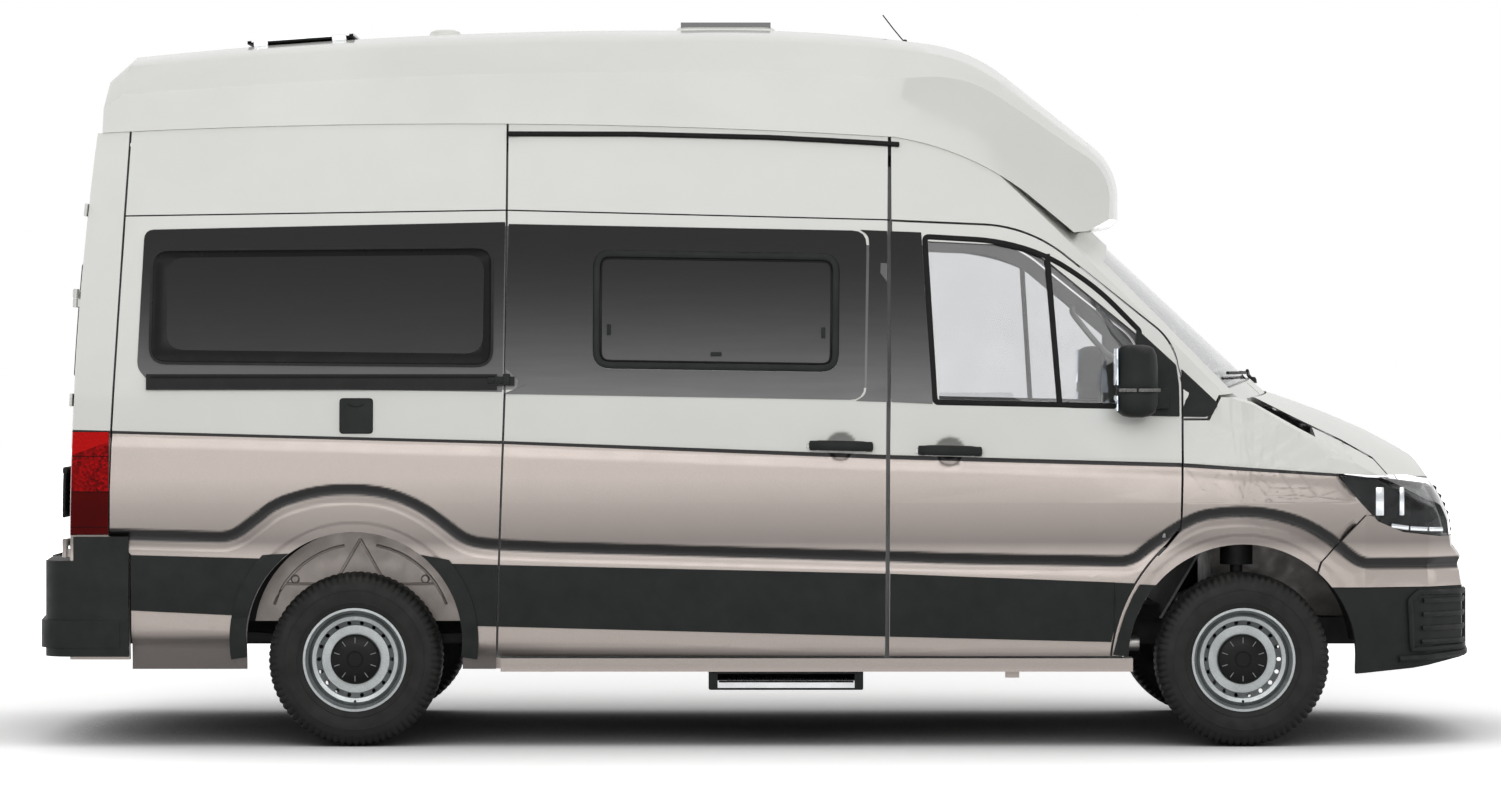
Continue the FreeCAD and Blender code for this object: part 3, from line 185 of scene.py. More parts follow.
surfaces = {
    # colour, grain, its scale and depth, roughness from and to, tone spread, then shader settings and what is unusual
    "grainedPlastic": ((0.016, 0.018, 0.0175), "pebble", 520, 0.0004, (0.48, 0.62), 0.18,
                       {"Specular IOR Level": 0.18}, dict(dust=0.12)),
    "smoothBlack": ((0.008, 0.008, 0.008), "fine", 180, 0.0002, (0.26, 0.38), 0.15,
                    {"Specular IOR Level": 0.14}, dict(dust=0.02)),
    "sealRubber": ((0.010, 0.010, 0.010), "fine", 400, 0.0003, (0.6, 0.75), 0.2, {"Specular IOR Level": 0.15}),
    "tyreRubber": ((0.013, 0.013, 0.0125), "fine", 220, 0.0006, (0.5, 0.7), 0.25,
                   {"Specular IOR Level": 0.25}, dict(dust=0.08)),
    "wheelSilver": ((0.37, 0.392, 0.396), "flake", 420, 0.0003, (0.32, 0.48), 0.14,
                    {"Metallic": 0.85, "Coat Weight": 0.4}, dict(grainTone=0.6)),
    "chassisBlack": ((0.014, 0.014, 0.014), "fine", 90, 0.0010, (0.45, 0.7), 0.3,
                     {"Specular IOR Level": 0.25}, dict(dust=0.08)),
    "underSeal": ((0.016, 0.0155, 0.015), "pebble", 160, 0.0015, (0.6, 0.8), 0.25,
                  {"Specular IOR Level": 0.2}, dict(dust=0.08)),
    "castMetal": ((0.20, 0.19, 0.18), "fine", 120, 0.0010, (0.4, 0.65), 0.25, {"Metallic": 0.8}),
    "bareSteel": ((0.46, 0.45, 0.43), "brushed", 60, 0.0004, (0.28, 0.5), 0.2, {"Metallic": 0.9}),
    "bareAluminium": ((0.62, 0.63, 0.64), "brushed", 40, 0.0003, (0.25, 0.42), 0.1, {"Metallic": 0.9}),
    "tankPlastic": ((0.05, 0.05, 0.052), "fine", 60, 0.0008, (0.4, 0.55), 0.2, {}, dict(dust=0.15)),
    "dashPlastic": ((0.045, 0.047, 0.050), "pebble", 640, 0.0004, (0.5, 0.65), 0.12, {}, dict(dust=0.1)),
    "cabinTrim": ((0.40, 0.41, 0.41), "pebble", 420, 0.0004, (0.5, 0.7), 0.08),
    "roofGelcoat": ((0.80, 0.806, 0.762), "fine", 120, 0.0003, (0.28, 0.4), 0.03,
                    {"Coat Weight": 0.7, "Coat Roughness": 0.06}, dict(grainTone=0.04, driftScale=1.6)),
    "smokedAcrylic": ((0.010, 0.011, 0.012), "fine", 3, 0.0004, (0.08, 0.16), 0.1, {"Coat Weight": 0.6}),
    "mirrorGlass": ((0.60, 0.68, 0.78), "fine", 20, 0.0001, (0.03, 0.06), 0.04, {"Metallic": 1.0},
                    dict(grainTone=0.03)),
    "lampSilver": ((0.70, 0.71, 0.72), "brushed", 30, 0.0002, (0.10, 0.2), 0.08, {"Metallic": 0.9}),
    "turnLamp": ((0.16, 0.16, 0.155), "flake", 160, 0.0006, (0.15, 0.3), 0.3, {"Specular IOR Level": 0.4},
                 dict(grainTone=0.8)),
    "lampBlack": ((0.008, 0.0085, 0.009), "pebble", 300, 0.0003, (0.2, 0.35), 0.2, {"Specular IOR Level": 0.2}),
    "capGrey": ((0.30, 0.31, 0.31), "fine", 200, 0.0002, (0.35, 0.5), 0.1),
    "seatCloth": ((0.085, 0.088, 0.095), "pebble", 900, 0.0008, (0.8, 0.95), 0.2, {"Sheen Weight": 0.25},
                  dict(grainStrength=0.5, grainTone=0.5)),
    "plateWhite": ((0.72, 0.72, 0.70), "fine", 90, 0.0002, (0.3, 0.45), 0.04, {}, dict(dust=0.1)),
    "solarCell": ((0.012, 0.017, 0.045), "brushed", 60, 0.0001, (0.12, 0.22), 0.2, {"Coat Weight": 0.8},
                  dict(grainTone=0.35, stretch=(30, 1, 1))),
    "archPaint": ((0.46, 0.41, 0.38), "flake", 700, 0.0002, (0.35, 0.5), 0.14, {"Metallic": 0.4},
                  dict(grainTone=0.3, dust=0.2)),
}

beltLine = [(-3.0, 1.304), (-1.037, 1.253), (0.533, 1.196), (1.73, 1.163), (2.384, 1.118), (3.0, 1.09)]
paint = {
    "light": (0.87, 0.878, 0.832),
    "metal": (0.44, 0.385, 0.355),
    "metalShaded": (0.185, 0.160, 0.146),
    "lineAndPaintedShade": (0.004, 0.003, 0.003),
    "lining": (0.36, 0.36, 0.35),
    "stripeLow": [(-3.0, 1.292), (-1.037, 1.240), (0.533, 1.178), (1.73, 1.146), (2.384, 1.106), (3.0, 1.08)],
    "flakeScale": 900,
    "flakeShare": 0.28,
    "metallic": 0.55,
    "coat": 0.25,
    "grainScale": 260,
    "orangePeel": 0.0006,
    "reflectionHeights": (2.15, 1.42),  # where the painted reflection on the black glass is darkest and palest
    "glassReflectionLevels": (0.008, 0.24, 2.6),  # darkest, palest, how late it pales, of the painted reflection
    "blackZones": [(-1.10, -0.96, 1.462, 2.134), (0.436, 0.690, 1.470, 2.055), (0.475, 0.660, 1.426, 2.100)],
    "shadedGapSpan": (-1.2, 1.9),  # along the van, where the door gaps get painted shade
    "linedFrom": (0.2, 0, 1.4),  # the middle of the cabin
}


def heightAlong(look, alongX, points, reach=3.2):
    # a line in the side view: gives its height for each place along the van
    curve = put(look, "FloatCurve", {"Value": between(look, alongX, -reach, reach)})
    line = curve.mapping.curves[0]
    for number, (x, z) in enumerate(points):
        place = ((x + reach) / (2 * reach), z / reach)
        spot = line.points[number] if number < 2 else line.points.new(*place)
        spot.location = place
    for spot in line.points:
        spot.handle_type = "VECTOR"
    curve.mapping.update()
    return times(look, curve.outputs[0], reach)


def glassLevel(look, z, high, low, power):
    return between(look, maths(look, "POWER", between(look, z, *paint["reflectionHeights"]), power), 0, 1, high, low)


def grey(look, level, blue=None):
    return put(look, "CombineColor", {0: level, 1: level, 2: level if blue is None else blue}).outputs[0]


def paintLook(name, twoTone=True):
    look, shader = newLook(name, **{"Coat Weight": paint["coat"], "Coat Roughness": 0.04})
    where = atRest(look)
    x, y, z = axes(look, where)[0:3]
    drift = between(look, noise(look, where, 2.2, 3), 0.35, 0.65)
    light = blendColour(look, drift, [c * 0.97 for c in paint["light"]], paint["light"])
    flake = axes(look, cells(look, where, paint["flakeScale"])["Color"])[0]
    # painted shade: the metallic paint darkens downwards towards the ledge, then is even again below it
    metal = blendColour(look, between(look, z, 1.10, 0.85), paint["metal"], paint["metalShaded"])
    metal = blendColour(look, between(look, z, 0.84, 0.78), metal, paint["metal"])
    metal = blendColour(look, times(look, flake, paint["flakeShare"]), metal, [c * 0.4 for c in paint["metal"]])
    metallic, tone = 0.0, light
    rough = between(look, noise(look, where, 9), 0.3, 0.7, 0.30, 0.38)
    if twoTone:
        over = maths(look, "GREATER_THAN", z, heightAlong(look, x, beltLine))
        tone = blendColour(look, over, metal, light)
        # a thin dark band just under the split between the two colours: part black line, part painted shade of the
        # crease there
        overStripe = maths(look, "GREATER_THAN", z, heightAlong(look, x, paint["stripeLow"]))
        tone = blendColour(look, maths(look, "SUBTRACT", overStripe, over), tone, paint["lineAndPaintedShade"])
        # painted shade in the pressed ledge, under the sill and in the hand dishes, carried by a mesh attribute
        pressed = put(look, "Attribute", attribute_name="paintedCreaseShade").outputs["Fac"]
        tone = blendColour(look, pressed, tone, paint["lineAndPaintedShade"])
        metallic = times(look, maths(look, "SUBTRACT", 1.0, over), paint["metallic"])
        level = glassLevel(look, z, *paint["glassReflectionLevels"])
        for back, front, low, high in paint["blackZones"]:  # x and z ranges painted black like the glass, with its painted reflection
            inside = times(look, inBand(look, x, back, front), inBand(look, z, low, high))
            tone = blendColour(look, inside, tone, grey(look, level))
    # the same piece gets painted shade on its faces across the van along the door gaps, and its trim on the face
    # towards the cabin
    facing = put(look, "TexCoord").outputs["Normal"]
    across = maths(look, "GREATER_THAN", maths(look, "ABSOLUTE", axes(look, facing)[0]), 0.9)
    across = times(look, across, inBand(look, x, *paint["shadedGapSpan"]))
    tone = blendColour(look, across, tone, paint["lineAndPaintedShade"])
    centre = put(look, "VectorMath", {0: where, 1: paint["linedFrom"]}, operation="SUBTRACT").outputs[0]
    towards = put(look, "VectorMath", {0: facing, 1: centre}, operation="DOT_PRODUCT").outputs["Value"]
    inward = maths(look, "LESS_THAN", towards, -0.05)
    weave = cells(look, where, paint["grainScale"])["Distance"]
    trim = blendColour(look, weave, [c * 0.8 for c in paint["lining"]], paint["lining"])
    tone = blendColour(look, inward, tone, trim)
    rough = maths(look, "ADD", rough, times(look, inward, 0.4))
    join(look, metallic, shader.inputs["Metallic"])
    peel = bump(look, noise(look, where, paint["grainScale"], 1), 0.05, paint["orangePeel"])
    return finished(look, shader, tone, rough, peel)


def glassLook(name, tint, rough=0.02, bend=1.45):
    look, shader = newLook(name, **{"Transmission Weight": 1.0, "IOR": bend})
    where = atRest(look)
    film = between(look, noise(look, where, 5, 4), 0.35, 0.7)
    return finished(look, shader, blendColour(look, film, tint, [c * 0.95 for c in tint]),
                    between(look, noise(look, where, 30), 0.3, 0.8, rough, rough + 0.01))


def panelShadeLook(name, *paintedShade):
    # black glass with a painted reflection: dark at the top, paler towards its lower edge
    look, shader = newLook(name, **{"Specular IOR Level": 0.11})
    where = atRest(look)
    streak = between(look, noise(look, where, 3, 3, 0.5, (1, 1, 12)), 0.3, 0.7, 0.94, 1.05)
    level = times(look, glassLevel(look, axes(look, where)[2], *paintedShade), streak)
    return finished(look, shader, grey(look, level, times(look, level, 1.01)),
                    between(look, noise(look, where, 18), 0.3, 0.7, 0.10, 0.17),
                    bump(look, noise(look, where, 7, 2), 0.04, 0.0006))


def tailRedLook(name):
    look, shader = newLook(name, **{"Specular IOR Level": 0.05})
    where = atRest(look)
    x, y, z = axes(look, where)[0:3]
    prisms = cells(look, where, 95.0, distance="CHEBYCHEV")
    spark = axes(look, prisms["Color"])[0]
    deep = blendColour(look, spark, (0.12, 0.001, 0.001), (0.50, 0.004, 0.006))
    plain = blendColour(look, noise(look, where, 12), (0.06, 0.0005, 0.0008), (0.11, 0.001, 0.001))
    upper = maths(look, "GREATER_THAN", z, 1.045)
    tone = blendColour(look, upper, plain, deep)
    wedge = maths(look, "GREATER_THAN", maths(look, "ADD", z, times(look, x, -0.35)), 2.175)
    tone = blendColour(look, wedge, tone, (0.62, 0.006, 0.006))
    seams = maths(look, "LESS_THAN", maths(look, "PINGPONG", maths(look, "SUBTRACT", z, 0.90), 0.0725), 0.0028)
    tone = blendColour(look, times(look, seams, 0.75), tone, (0.02, 0.001, 0.001))
    return finished(look, shader, tone, 0.3, bump(look, times(look, prisms["Distance"], upper), 0.5, 0.002))


looks = {name: wornSurface(name, *row[:7], **(row[7] if len(row) > 7 else {})) for name, row in surfaces.items()}
looks.update({
    "twoTonePaint": paintLook("twoTonePaint"),
    "lightPaint": paintLook("lightPaint", twoTone=False),
    "paleGlass": glassLook("paleGlass", (0.75, 0.755, 0.765), 0.0),
    "tintedGlass": glassLook("tintedGlass", (0.16, 0.17, 0.18)),
    "clearLens": glassLook("clearLens", (0.93, 0.94, 0.95), 0.0, 1.18),
    "redLens": glassLook("redLens", (0.75, 0.012, 0.010), 0.05),
    # black glass whose colour carries a painted reflection, paler lower down
    "blackPanelGlass": panelShadeLook("blackPanelGlass", 0.006, 0.255, 2.5),
    # the pane deep in the pod: a darker painted reflection, with painted shade of its recess
    "deepPaneGlass": panelShadeLook("deepPaneGlass", 0.004, 0.080, 2.2),
    "tailRed": tailRedLook("tailRed"),
})
print("finishes made:", len(looks))

nodeLooks = {
    "twoTonePaint": ["right_side_panel", "left_side_panel", "sliding_door", "tail_frame", "left_rear_door",
                     "right_rear_door", "left_front_door", "right_front_door", "front_wings", "bonnet",
                     "front_bumper", "sills"],
    "lightPaint": ["cab_frame"],
    "roofGelcoat": ["high_roof"],
    "paleGlass": ["windscreen", "left_door_glass", "right_door_glass"],
    "tintedGlass": ["left_rear_glass", "right_rear_glass"],
    "clearLens": ["headlights"],
    "redLens": ["tail_lights"],
    "smokedAcrylic": ["side_windows", "skylight", "solar_panel"],
    "grainedPlastic": ["lower_bumper", "grille", "rear_bumper", "side_cladding", "left_door_cladding",
                       "right_door_cladding", "left_mirror", "right_mirror", "step_housing", "roof_fittings"],
    "tyreRubber": [f"{end}_{side}_tyre" for end in ("front", "rear") for side in ("left", "right")],
    "wheelSilver": [f"{end}_{side}_rim" for end in ("front", "rear") for side in ("left", "right")],
    "chassisBlack": ["chassis_rails", "rear_springs", "rear_axle", "front_suspension", "front_panel"],
    "castMetal": ["left_knuckle", "right_knuckle", "engine_block"],
    "bareSteel": ["exhaust"],
    "tankPlastic": ["fuel_tank"],
    "underSeal": ["floor_pan", "wheel_housings"],
    "smoothBlack": ["slide_rail"],
    "dashPlastic": ["dashboard", "steering_wheel"],
    "cabinTrim": ["body_frame", "cab_seats"],
    "bareAluminium": ["entry_step"],
}
for lookName, members in nodeLooks.items():
    for member in members:
        for slot in nodes[member].material_slots:
            slot.link = "OBJECT"
            slot.material = looks[lookName]
print("nodes with a finish:", sum(len(members) for members in nodeLooks.values()), "of", len(nodes))

# pressed body panels

pressings = {
    "ledge": [  # middle of the pressed ledge along the flank, over both wheel arches, darkened by painted shade
        (-2.70, 0.882), (-2.639, 0.881), (-2.148, 0.867), (-2.066, 0.929), (-1.967, 1.007), (-1.804, 1.056),
        (-1.640, 1.066), (-1.493, 1.047), (-1.370, 0.994), (-1.272, 0.925), (-1.181, 0.851), (-1.042, 0.835),
        (-0.805, 0.826), (0.538, 0.790), (0.833, 0.780), (1.529, 0.769), (1.602, 0.831), (1.733, 0.919),
        (1.819, 0.959), (1.979, 0.975), (2.114, 0.963), (2.245, 0.925), (2.352, 0.860), (2.429, 0.795),
        (2.483, 0.760), (3.02, 0.757),
    ],
    "ledgeDepth": 0.014,
    "ledgeHalf": 0.020,
    "ledgeRun": 0.075,
    "beltDepth": 0.006,
    "beltHalf": 0.016,
    "sill": [(-2.7, 0.480), (-2.1, 0.478), (-0.805, 0.421), (0.833, 0.396), (3.0, 0.39)],
    "sillDepth": 0.022,
    "archCentres": [(-1.646, 0.439, 0.442), (1.990, 0.362, 0.468)],  # x, z, lip radius
    "lipBand": 0.042,
    "lipDepth": 0.004,
    "dishes": [(-1, 0.345, 1.232), (-1, 0.790, 1.212), (1, 0.790, 1.212)],  # side, x, z of the hand dishes
    "dishHalf": (0.068, 0.062),
    "dishDepth": 0.024,
    "along": [(-2.20, -1.12, 0.009), (1.50, 2.50, 0.009), (0.27, 0.42, 0.009), (0.715, 0.865, 0.009)],  # fine cells
    "up": [(0.34, 0.50, 0.02), (0.72, 1.10, 0.0072), (1.10, 1.32, 0.012)],
    "coarse": (0.05, 0.06),
    "topCell": 1.34,
    "smoothing": 30,
    "pocketReach": 0.022,
    "merge": 2e-5,
}


def smooth(value, low, high):
    share = min(1, max(0, (value - low) / (high - low)))
    return share * share * (3 - 2 * share)


def lineHeight(points, x):
    for (x0, z0), (x1, z1) in zip(points, points[1:]):
        if x <= x1:
            return z0 + (z1 - z0) * (x - x0) / (x1 - x0)
    return points[-1][1]


def overLine(points, x, z):  # how far a point is above a line, at right angles to it
    best = 9
    for (x0, z0), (x1, z1) in zip(points, points[1:]):
        if x0 - 0.3 > x or x1 + 0.3 < x:
            continue
        run, rise = x1 - x0, z1 - z0
        share = min(1, max(0, ((x - x0) * run + (z - z0) * rise) / (run * run + rise * rise)))
        best = min(best, math.hypot(x - x0 - share * run, z - z0 - share * rise))
    return best if z > lineHeight(points, x) else -best


def bent(start, corner, end, steps, first=0):
    shares = [step / steps for step in range(first, steps + 1)]
    return [start.lerp(corner, share).lerp(corner.lerp(end, share), share) for share in shares]


def roundCorners(points, radius, steps=6):  # a point may bring its own radius
    made = []
    for number, point in enumerate(points):
        corner = Vector(point[:2])
        reach = point[2] if len(point) > 2 else radius
        before = Vector(points[number - 1][:2]) - corner
        after = Vector(points[(number + 1) % len(points)][:2]) - corner
        cut = min(reach, before.length * 0.49, after.length * 0.49)
        curve = bent(corner + before.normalized() * cut, corner, corner + after.normalized() * cut, steps)
        made += [tuple(place) for place in curve]
    return made


def softLine(points, reach, steps=5):  # an open line with its corners rounded
    inner = roundCorners([point + (reach,) for point in points], reach, steps)[steps + 1:-steps - 1]
    return [points[0]] + inner + [points[-1]]


def pressDepth(x, z, side):
    # how deep the sheet is pressed in at a place in the side view, and how much painted shade it gets there, from 0 to
    # 1
    ledge, half = overLine(pressings["ledge"], x, z), pressings["ledgeHalf"]
    depth = pressings["ledgeDepth"] * (1 - smooth(ledge, -half, half)) * smooth(ledge, -pressings["ledgeRun"], -half)
    # painted shade along a band at the ledge, reaching further below its middle than above
    paintedShade = smooth(ledge, -half * 1.9, -half * 1.4) * (1 - smooth(ledge, half * 0.6, half * 0.9))
    belt, half = z - lineHeight(beltLine, x), pressings["beltHalf"]
    depth += pressings["beltDepth"] * (1 - smooth(belt, -half, half * 0.3)) * smooth(belt, -half * 4, -half)
    sill = lineHeight(pressings["sill"], x)
    depth += pressings["sillDepth"] * (1 - smooth(z, sill - 0.07, sill))
    # painted shade under the sill's step
    paintedShade = max(paintedShade, 0.75 * (1 - smooth(z, sill - 0.045, sill - 0.004)))
    for centreX, centreZ, radius in pressings["archCentres"]:
        out = math.hypot(x - centreX, z - centreZ) - radius
        band = pressings["lipBand"]
        depth += pressings["lipDepth"] * (1 - smooth(out, band - 0.007, band))
    for hand, dishX, dishZ in pressings["dishes"]:
        if hand * side > 0:
            wide, tall = pressings["dishHalf"]
            far = math.hypot((x - dishX) / wide, (z - dishZ) / tall)
            depth += pressings["dishDepth"] * (1 - smooth(far, 0.35, 1.0))
            # painted shade in the upper part of each hand dish
            paintedShade = max(paintedShade, 0.6 * smooth(z, dishZ, dishZ + 0.02) * (1 - smooth(far, 0.8, 1.0)))
    return depth, paintedShade


def placed(mesh, name, body, look, replaces=()):
    piece = bpy.data.objects.new(name, mesh)
    bpy.context.scene.collection.objects.link(piece)
    mesh.materials.append(looks[look])
    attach(piece, body)
    if replaces:
        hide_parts(*replaces)
    return piece


def skinned(form, name, body, look, slot=None, replaces=(), angle=32):
    # a form becomes a piece, with sharp edges only where faces turn by more than the angle
    for face in form.faces:
        face.smooth = True
    for edge in form.edges:
        edge.smooth = len(edge.link_faces) == 2 and edge.calc_face_angle(0) < math.radians(angle)
    mesh = bpy.data.meshes.new(name)
    form.to_mesh(mesh)
    form.free()
    return placed(mesh, name, body, look, replaces)


def closedPiece(form, *rest, **settings):  # the same for a form whose faces first have to look outwards
    bmesh.ops.recalc_face_normals(form, faces=form.faces)
    return skinned(form, *rest, **settings)


def cutAt(form, faces, point, normal):
    parts = set(faces)
    for face in faces:
        parts.update(face.edges)
        parts.update(face.verts)
    bmesh.ops.bisect_plane(form, geom=list(parts), plane_co=point, plane_no=normal, dist=1e-6)


def outward(face):
    middle = face.calc_center_median()
    return face.normal.y * middle.y > 0.25 * abs(middle.y) or (middle.x > 2.35 and face.normal.x > 0.35)


def gradedSteps(low, high, ranges, coarse):
    # cutting places between low and high: fine inside the ranges, coarse elsewhere
    steps, place = [], low
    while place < high:
        fine = [step for start, end, step in ranges if start - 1e-6 <= place < end]
        ahead = [start for start, end, step in ranges if start > place + 1e-6]
        place = min([place + (fine[0] if fine else coarse)] + ([min(ahead)] if ahead and not fine else []))
        steps.append(place)
    return steps[:-1]


def nodeForm(node):
    form = bmesh.new()
    form.from_mesh(nodes[node].data)
    bmesh.ops.remove_doubles(form, verts=form.verts, dist=pressings["merge"])
    form.normal_update()
    return form


def pressedPanel(node):
    form = nodeForm(node)
    low, high = corners(node)
    coarseX, coarseZ = pressings["coarse"]
    cuts = [((x, 0, 0), (1, 0, 0)) for x in gradedSteps(low.x, high.x, pressings["along"], coarseX)]
    top = min(high.z, pressings["topCell"])
    cuts += [((0, 0, z), (0, 0, 1)) for z in gradedSteps(low.z, top, pressings["up"], coarseZ)]
    for place, normal in cuts:
        cutAt(form, [face for face in form.faces if outward(face)], place, normal)
    if node == "front_wings":
        inner = [vert for vert in form.verts if vert.link_faces and vert.co.x < 2.45
                 and all(outward(face) for face in vert.link_faces)]
        for turn in range(pressings["smoothing"]):
            bmesh.ops.smooth_vert(form, verts=inner, factor=0.5, use_axis_y=True)
    form.normal_update()
    paintedShades = form.verts.layers.float.new("paintedCreaseShade")
    form.verts.index_update()
    skin = BVHTree.FromPolygons([vert.co.copy() for vert in form.verts],
                                [[vert.index for vert in face.verts] for face in form.faces if outward(face)])
    for vert in form.verts:
        outer = [face.normal for face in vert.link_faces if outward(face)]
        if not outer and node.endswith("front_door"):  # the hinge pocket stays under the pressed sheet
            near = skin.find_nearest(vert.co, pressings["pocketReach"])
            outer = [near[1]] if near[0] is not None else []
        if not outer:
            continue
        depth, vert[paintedShades] = pressDepth(vert.co.x, vert.co.z, vert.co.y)
        way = sum(outer, Vector())
        way.z = 0
        if way.length > 1e-6:
            vert.co -= way.normalized() * depth
    form.normal_update()
    return skinned(form, node + "_sheet", nodes[node]["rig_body"], "twoTonePaint", None, (node,))


panelNames = ["right_side_panel", "left_side_panel", "sliding_door", "right_front_door", "left_front_door",
              "front_wings", "front_bumper"]
smoothNodes = {
    "twoTonePaint": ["tail_frame", "left_rear_door", "right_rear_door", "sills", "bonnet"],
    "lightPaint": ["cab_frame"],
    "roofGelcoat": ["high_roof"],
    "grainedPlastic": ["lower_bumper", "rear_bumper", "grille"],
    "wheelSilver": nodeLooks["wheelSilver"],
}
pressings["ledge"] = softLine(pressings["ledge"], 0.07)
pressed = [pressedPanel(name) for name in panelNames]
for lookName, members in smoothNodes.items():
    for member in members:  # the node's own shape with soft curves between its sharp edges
        slotName = "paint_light" if member == "bonnet" else None
        skinned(nodeForm(member), member + "_shell", nodes[member]["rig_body"], lookName, slotName, (member,))
print("panels pressed, faces:", sum(len(piece.data.polygons) for piece in pressed))

# the skins that fine pieces stand on


def skinTree(*names):
    points, faces = [], []
    for name in names:
        start = len(points)
        points += [vert.co.copy() for vert in nodes[name].data.vertices]
        faces += [[start + corner for corner in face.vertices] for face in nodes[name].data.polygons]
    return BVHTree.FromPolygons(points, faces)


def reached(tree, start, way, reach, missed):
    # where a ray along one axis meets a skin, or a stated place if it misses
    hit = tree.ray_cast(Vector(start), Vector(way), reach)[0]
    return missed if hit is None else hit[max(range(3), key=lambda axis: abs(way[axis]))]


claddings = ["side_cladding", "left_door_cladding", "right_door_cladding"]
flankTree = skinTree(*panelNames[:6], "cab_frame", "tail_frame", "front_bumper", "high_roof", *claddings)
noseTree = skinTree("headlights", "front_bumper", "lower_bumper", "grille", "bonnet", "front_wings")
tailTree = skinTree("left_rear_door", "right_rear_door", "tail_frame", "rear_bumper", "left_rear_glass",
                    "right_rear_glass")
roofTree = skinTree("high_roof", "skylight", "roof_fittings")
flankFound = {}
flankSearch = {
    "start": 2,  # where rays start, out from the middle line
    "reach": 1.6,
    "least": 0.7,  # what is nearer to the middle line isn't the flank
    "up": (0.016, 46),  # step and how many, looking up and down across an opening
    "along": (0.012, 30),
    "nearEdge": 6,  # steps within which one edge alone will do
    "span": 0.03,  # either side of a place whose slope is wanted
    "steepest": 0.8,
    "usual": 0.98,
}
noseSearch = {"middle": 2.15, "start": 2.5, "reach": 2.4, "usual": 0.85, "lean": 0.3}


def onFlank(x, z, side):
    # the outer skin's point beside a place in the side view, or nothing where it is open
    key = (round(x, 4), round(z, 4), side)
    if key not in flankFound:
        y = reached(flankTree, (x, side * flankSearch["start"], z), (0, -side, 0), flankSearch["reach"], 0)
        flankFound[key] = y if abs(y) > flankSearch["least"] else None
    return flankFound[key]


def flankY(x, z, side):
    # across an opening the skin is carried straight from its lower edge to its upper edge
    y = onFlank(x, z, side)
    if y is not None:
        return y
    found = []
    spacing, count = flankSearch["up"]
    for way in (1, -1):
        for step in range(1, count):
            y = onFlank(x, z + way * step * spacing, side)
            if y is not None:
                found.append((step, y))
                break
    if len(found) == 2:
        (up, high), (down, low) = found
        return (high * down + low * up) / (up + down)
    if found and found[0][0] < flankSearch["nearEdge"]:
        return found[0][1]
    spacing, count = flankSearch["along"]
    for step in range(1, count):
        for way in (1, -1):
            y = onFlank(x + way * step * spacing, z, side)
            if y is not None:
                return y
    return found[0][1] if found else side * flankSearch["usual"]


def flankOut(x, z, side):  # unit vector out of the skin
    span, most = flankSearch["span"], flankSearch["steepest"]
    rise = (flankY(x, z + span, side) - flankY(x, z - span, side)) / (2 * span)
    turn = (flankY(x + span, z, side) - flankY(x - span, z, side)) / (2 * span)
    return Vector((-max(-most, min(most, turn)), 1, -max(-most, min(most, rise)))).normalized() * side


def flankSpot(x, z, side):  # a place on the skin and the way out of it
    out = flankOut(x, z, side)
    return Vector((x, flankY(x, z, side), z)), out


def noseAt(heading, z):
    # the nose's skin looking out from inside it; heading 0 is straight ahead, 90 is the right side
    turn = math.radians(heading)
    way = Vector((math.cos(turn), -math.sin(turn), 0))
    inside = Vector((noseSearch["middle"], 0, z))
    hit, normal = noseTree.ray_cast(inside + way * noseSearch["start"], -way, noseSearch["reach"])[0:2]
    if hit is None:
        return inside + way * noseSearch["usual"], way
    return hit, normal if normal.dot(way) > 0 else -normal


def tailX(y, z):
    return reached(tailTree, (-4, y, z), (1, 0, 0), 2.5, rear["beyond"])


def tailLean(y, z):
    return math.atan2(tailX(y, z + 0.05) - tailX(y, z - 0.05), 0.1)


def roofZ(x, y):
    return reached(roofTree, (x, y, 4), (0, 0, -1), 3, 2.95)


# ways of making shapes


def spacedPath(points, spacing):
    made = [points[0]]
    for (x0, z0), (x1, z1) in zip(points, points[1:]):
        count = max(1, int(math.hypot(x1 - x0, z1 - z0) / spacing))
        made += [(x0 + (x1 - x0) * (step / count), z0 + (z1 - z0) * (step / count)) for step in range(1, count + 1)]
    return made


def loft(form, rings, closed=False, caps=True, openSection=False):
    # a skin through rings of places; closed joins the last ring to the first
    rings = [[form.verts.new(place) for place in ring] for ring in rings]
    count = len(rings[0])
    for first, second in zip(rings, rings[1:] + rings[:closed]):
        for corner in range(count - openSection):
            after = (corner + 1) % count
            form.faces.new((first[corner], first[after], second[after], second[corner]))
    if caps and not closed:
        form.faces.new(rings[0])
        form.faces.new(rings[-1][::-1])


def sheetForm(loops, side, countOf):
    # a flat sheet between loops in the side view, cut into cells
    form = bmesh.new()
    edges = []
    for loop in loops:
        verts = [form.verts.new((x, side * 3, z)) for x, z in loop]
        edges += [form.edges.new(pair) for pair in zip(verts, verts[1:] + verts[:1])]
    bmesh.ops.triangle_fill(form, edges=edges, use_beauty=True)
    for axis in (0, 2):
        values = [spot[axis // 2] for loop in loops for spot in loop]
        low, wide = min(values), max(values) - min(values)
        count = countOf(wide)
        normal = (1 - axis // 2, 0, axis // 2)
        for step in range(1, count + 1):
            cutAt(form, list(form.faces), Vector(normal) * (low + wide * step / (count + 1)), normal)
    return form


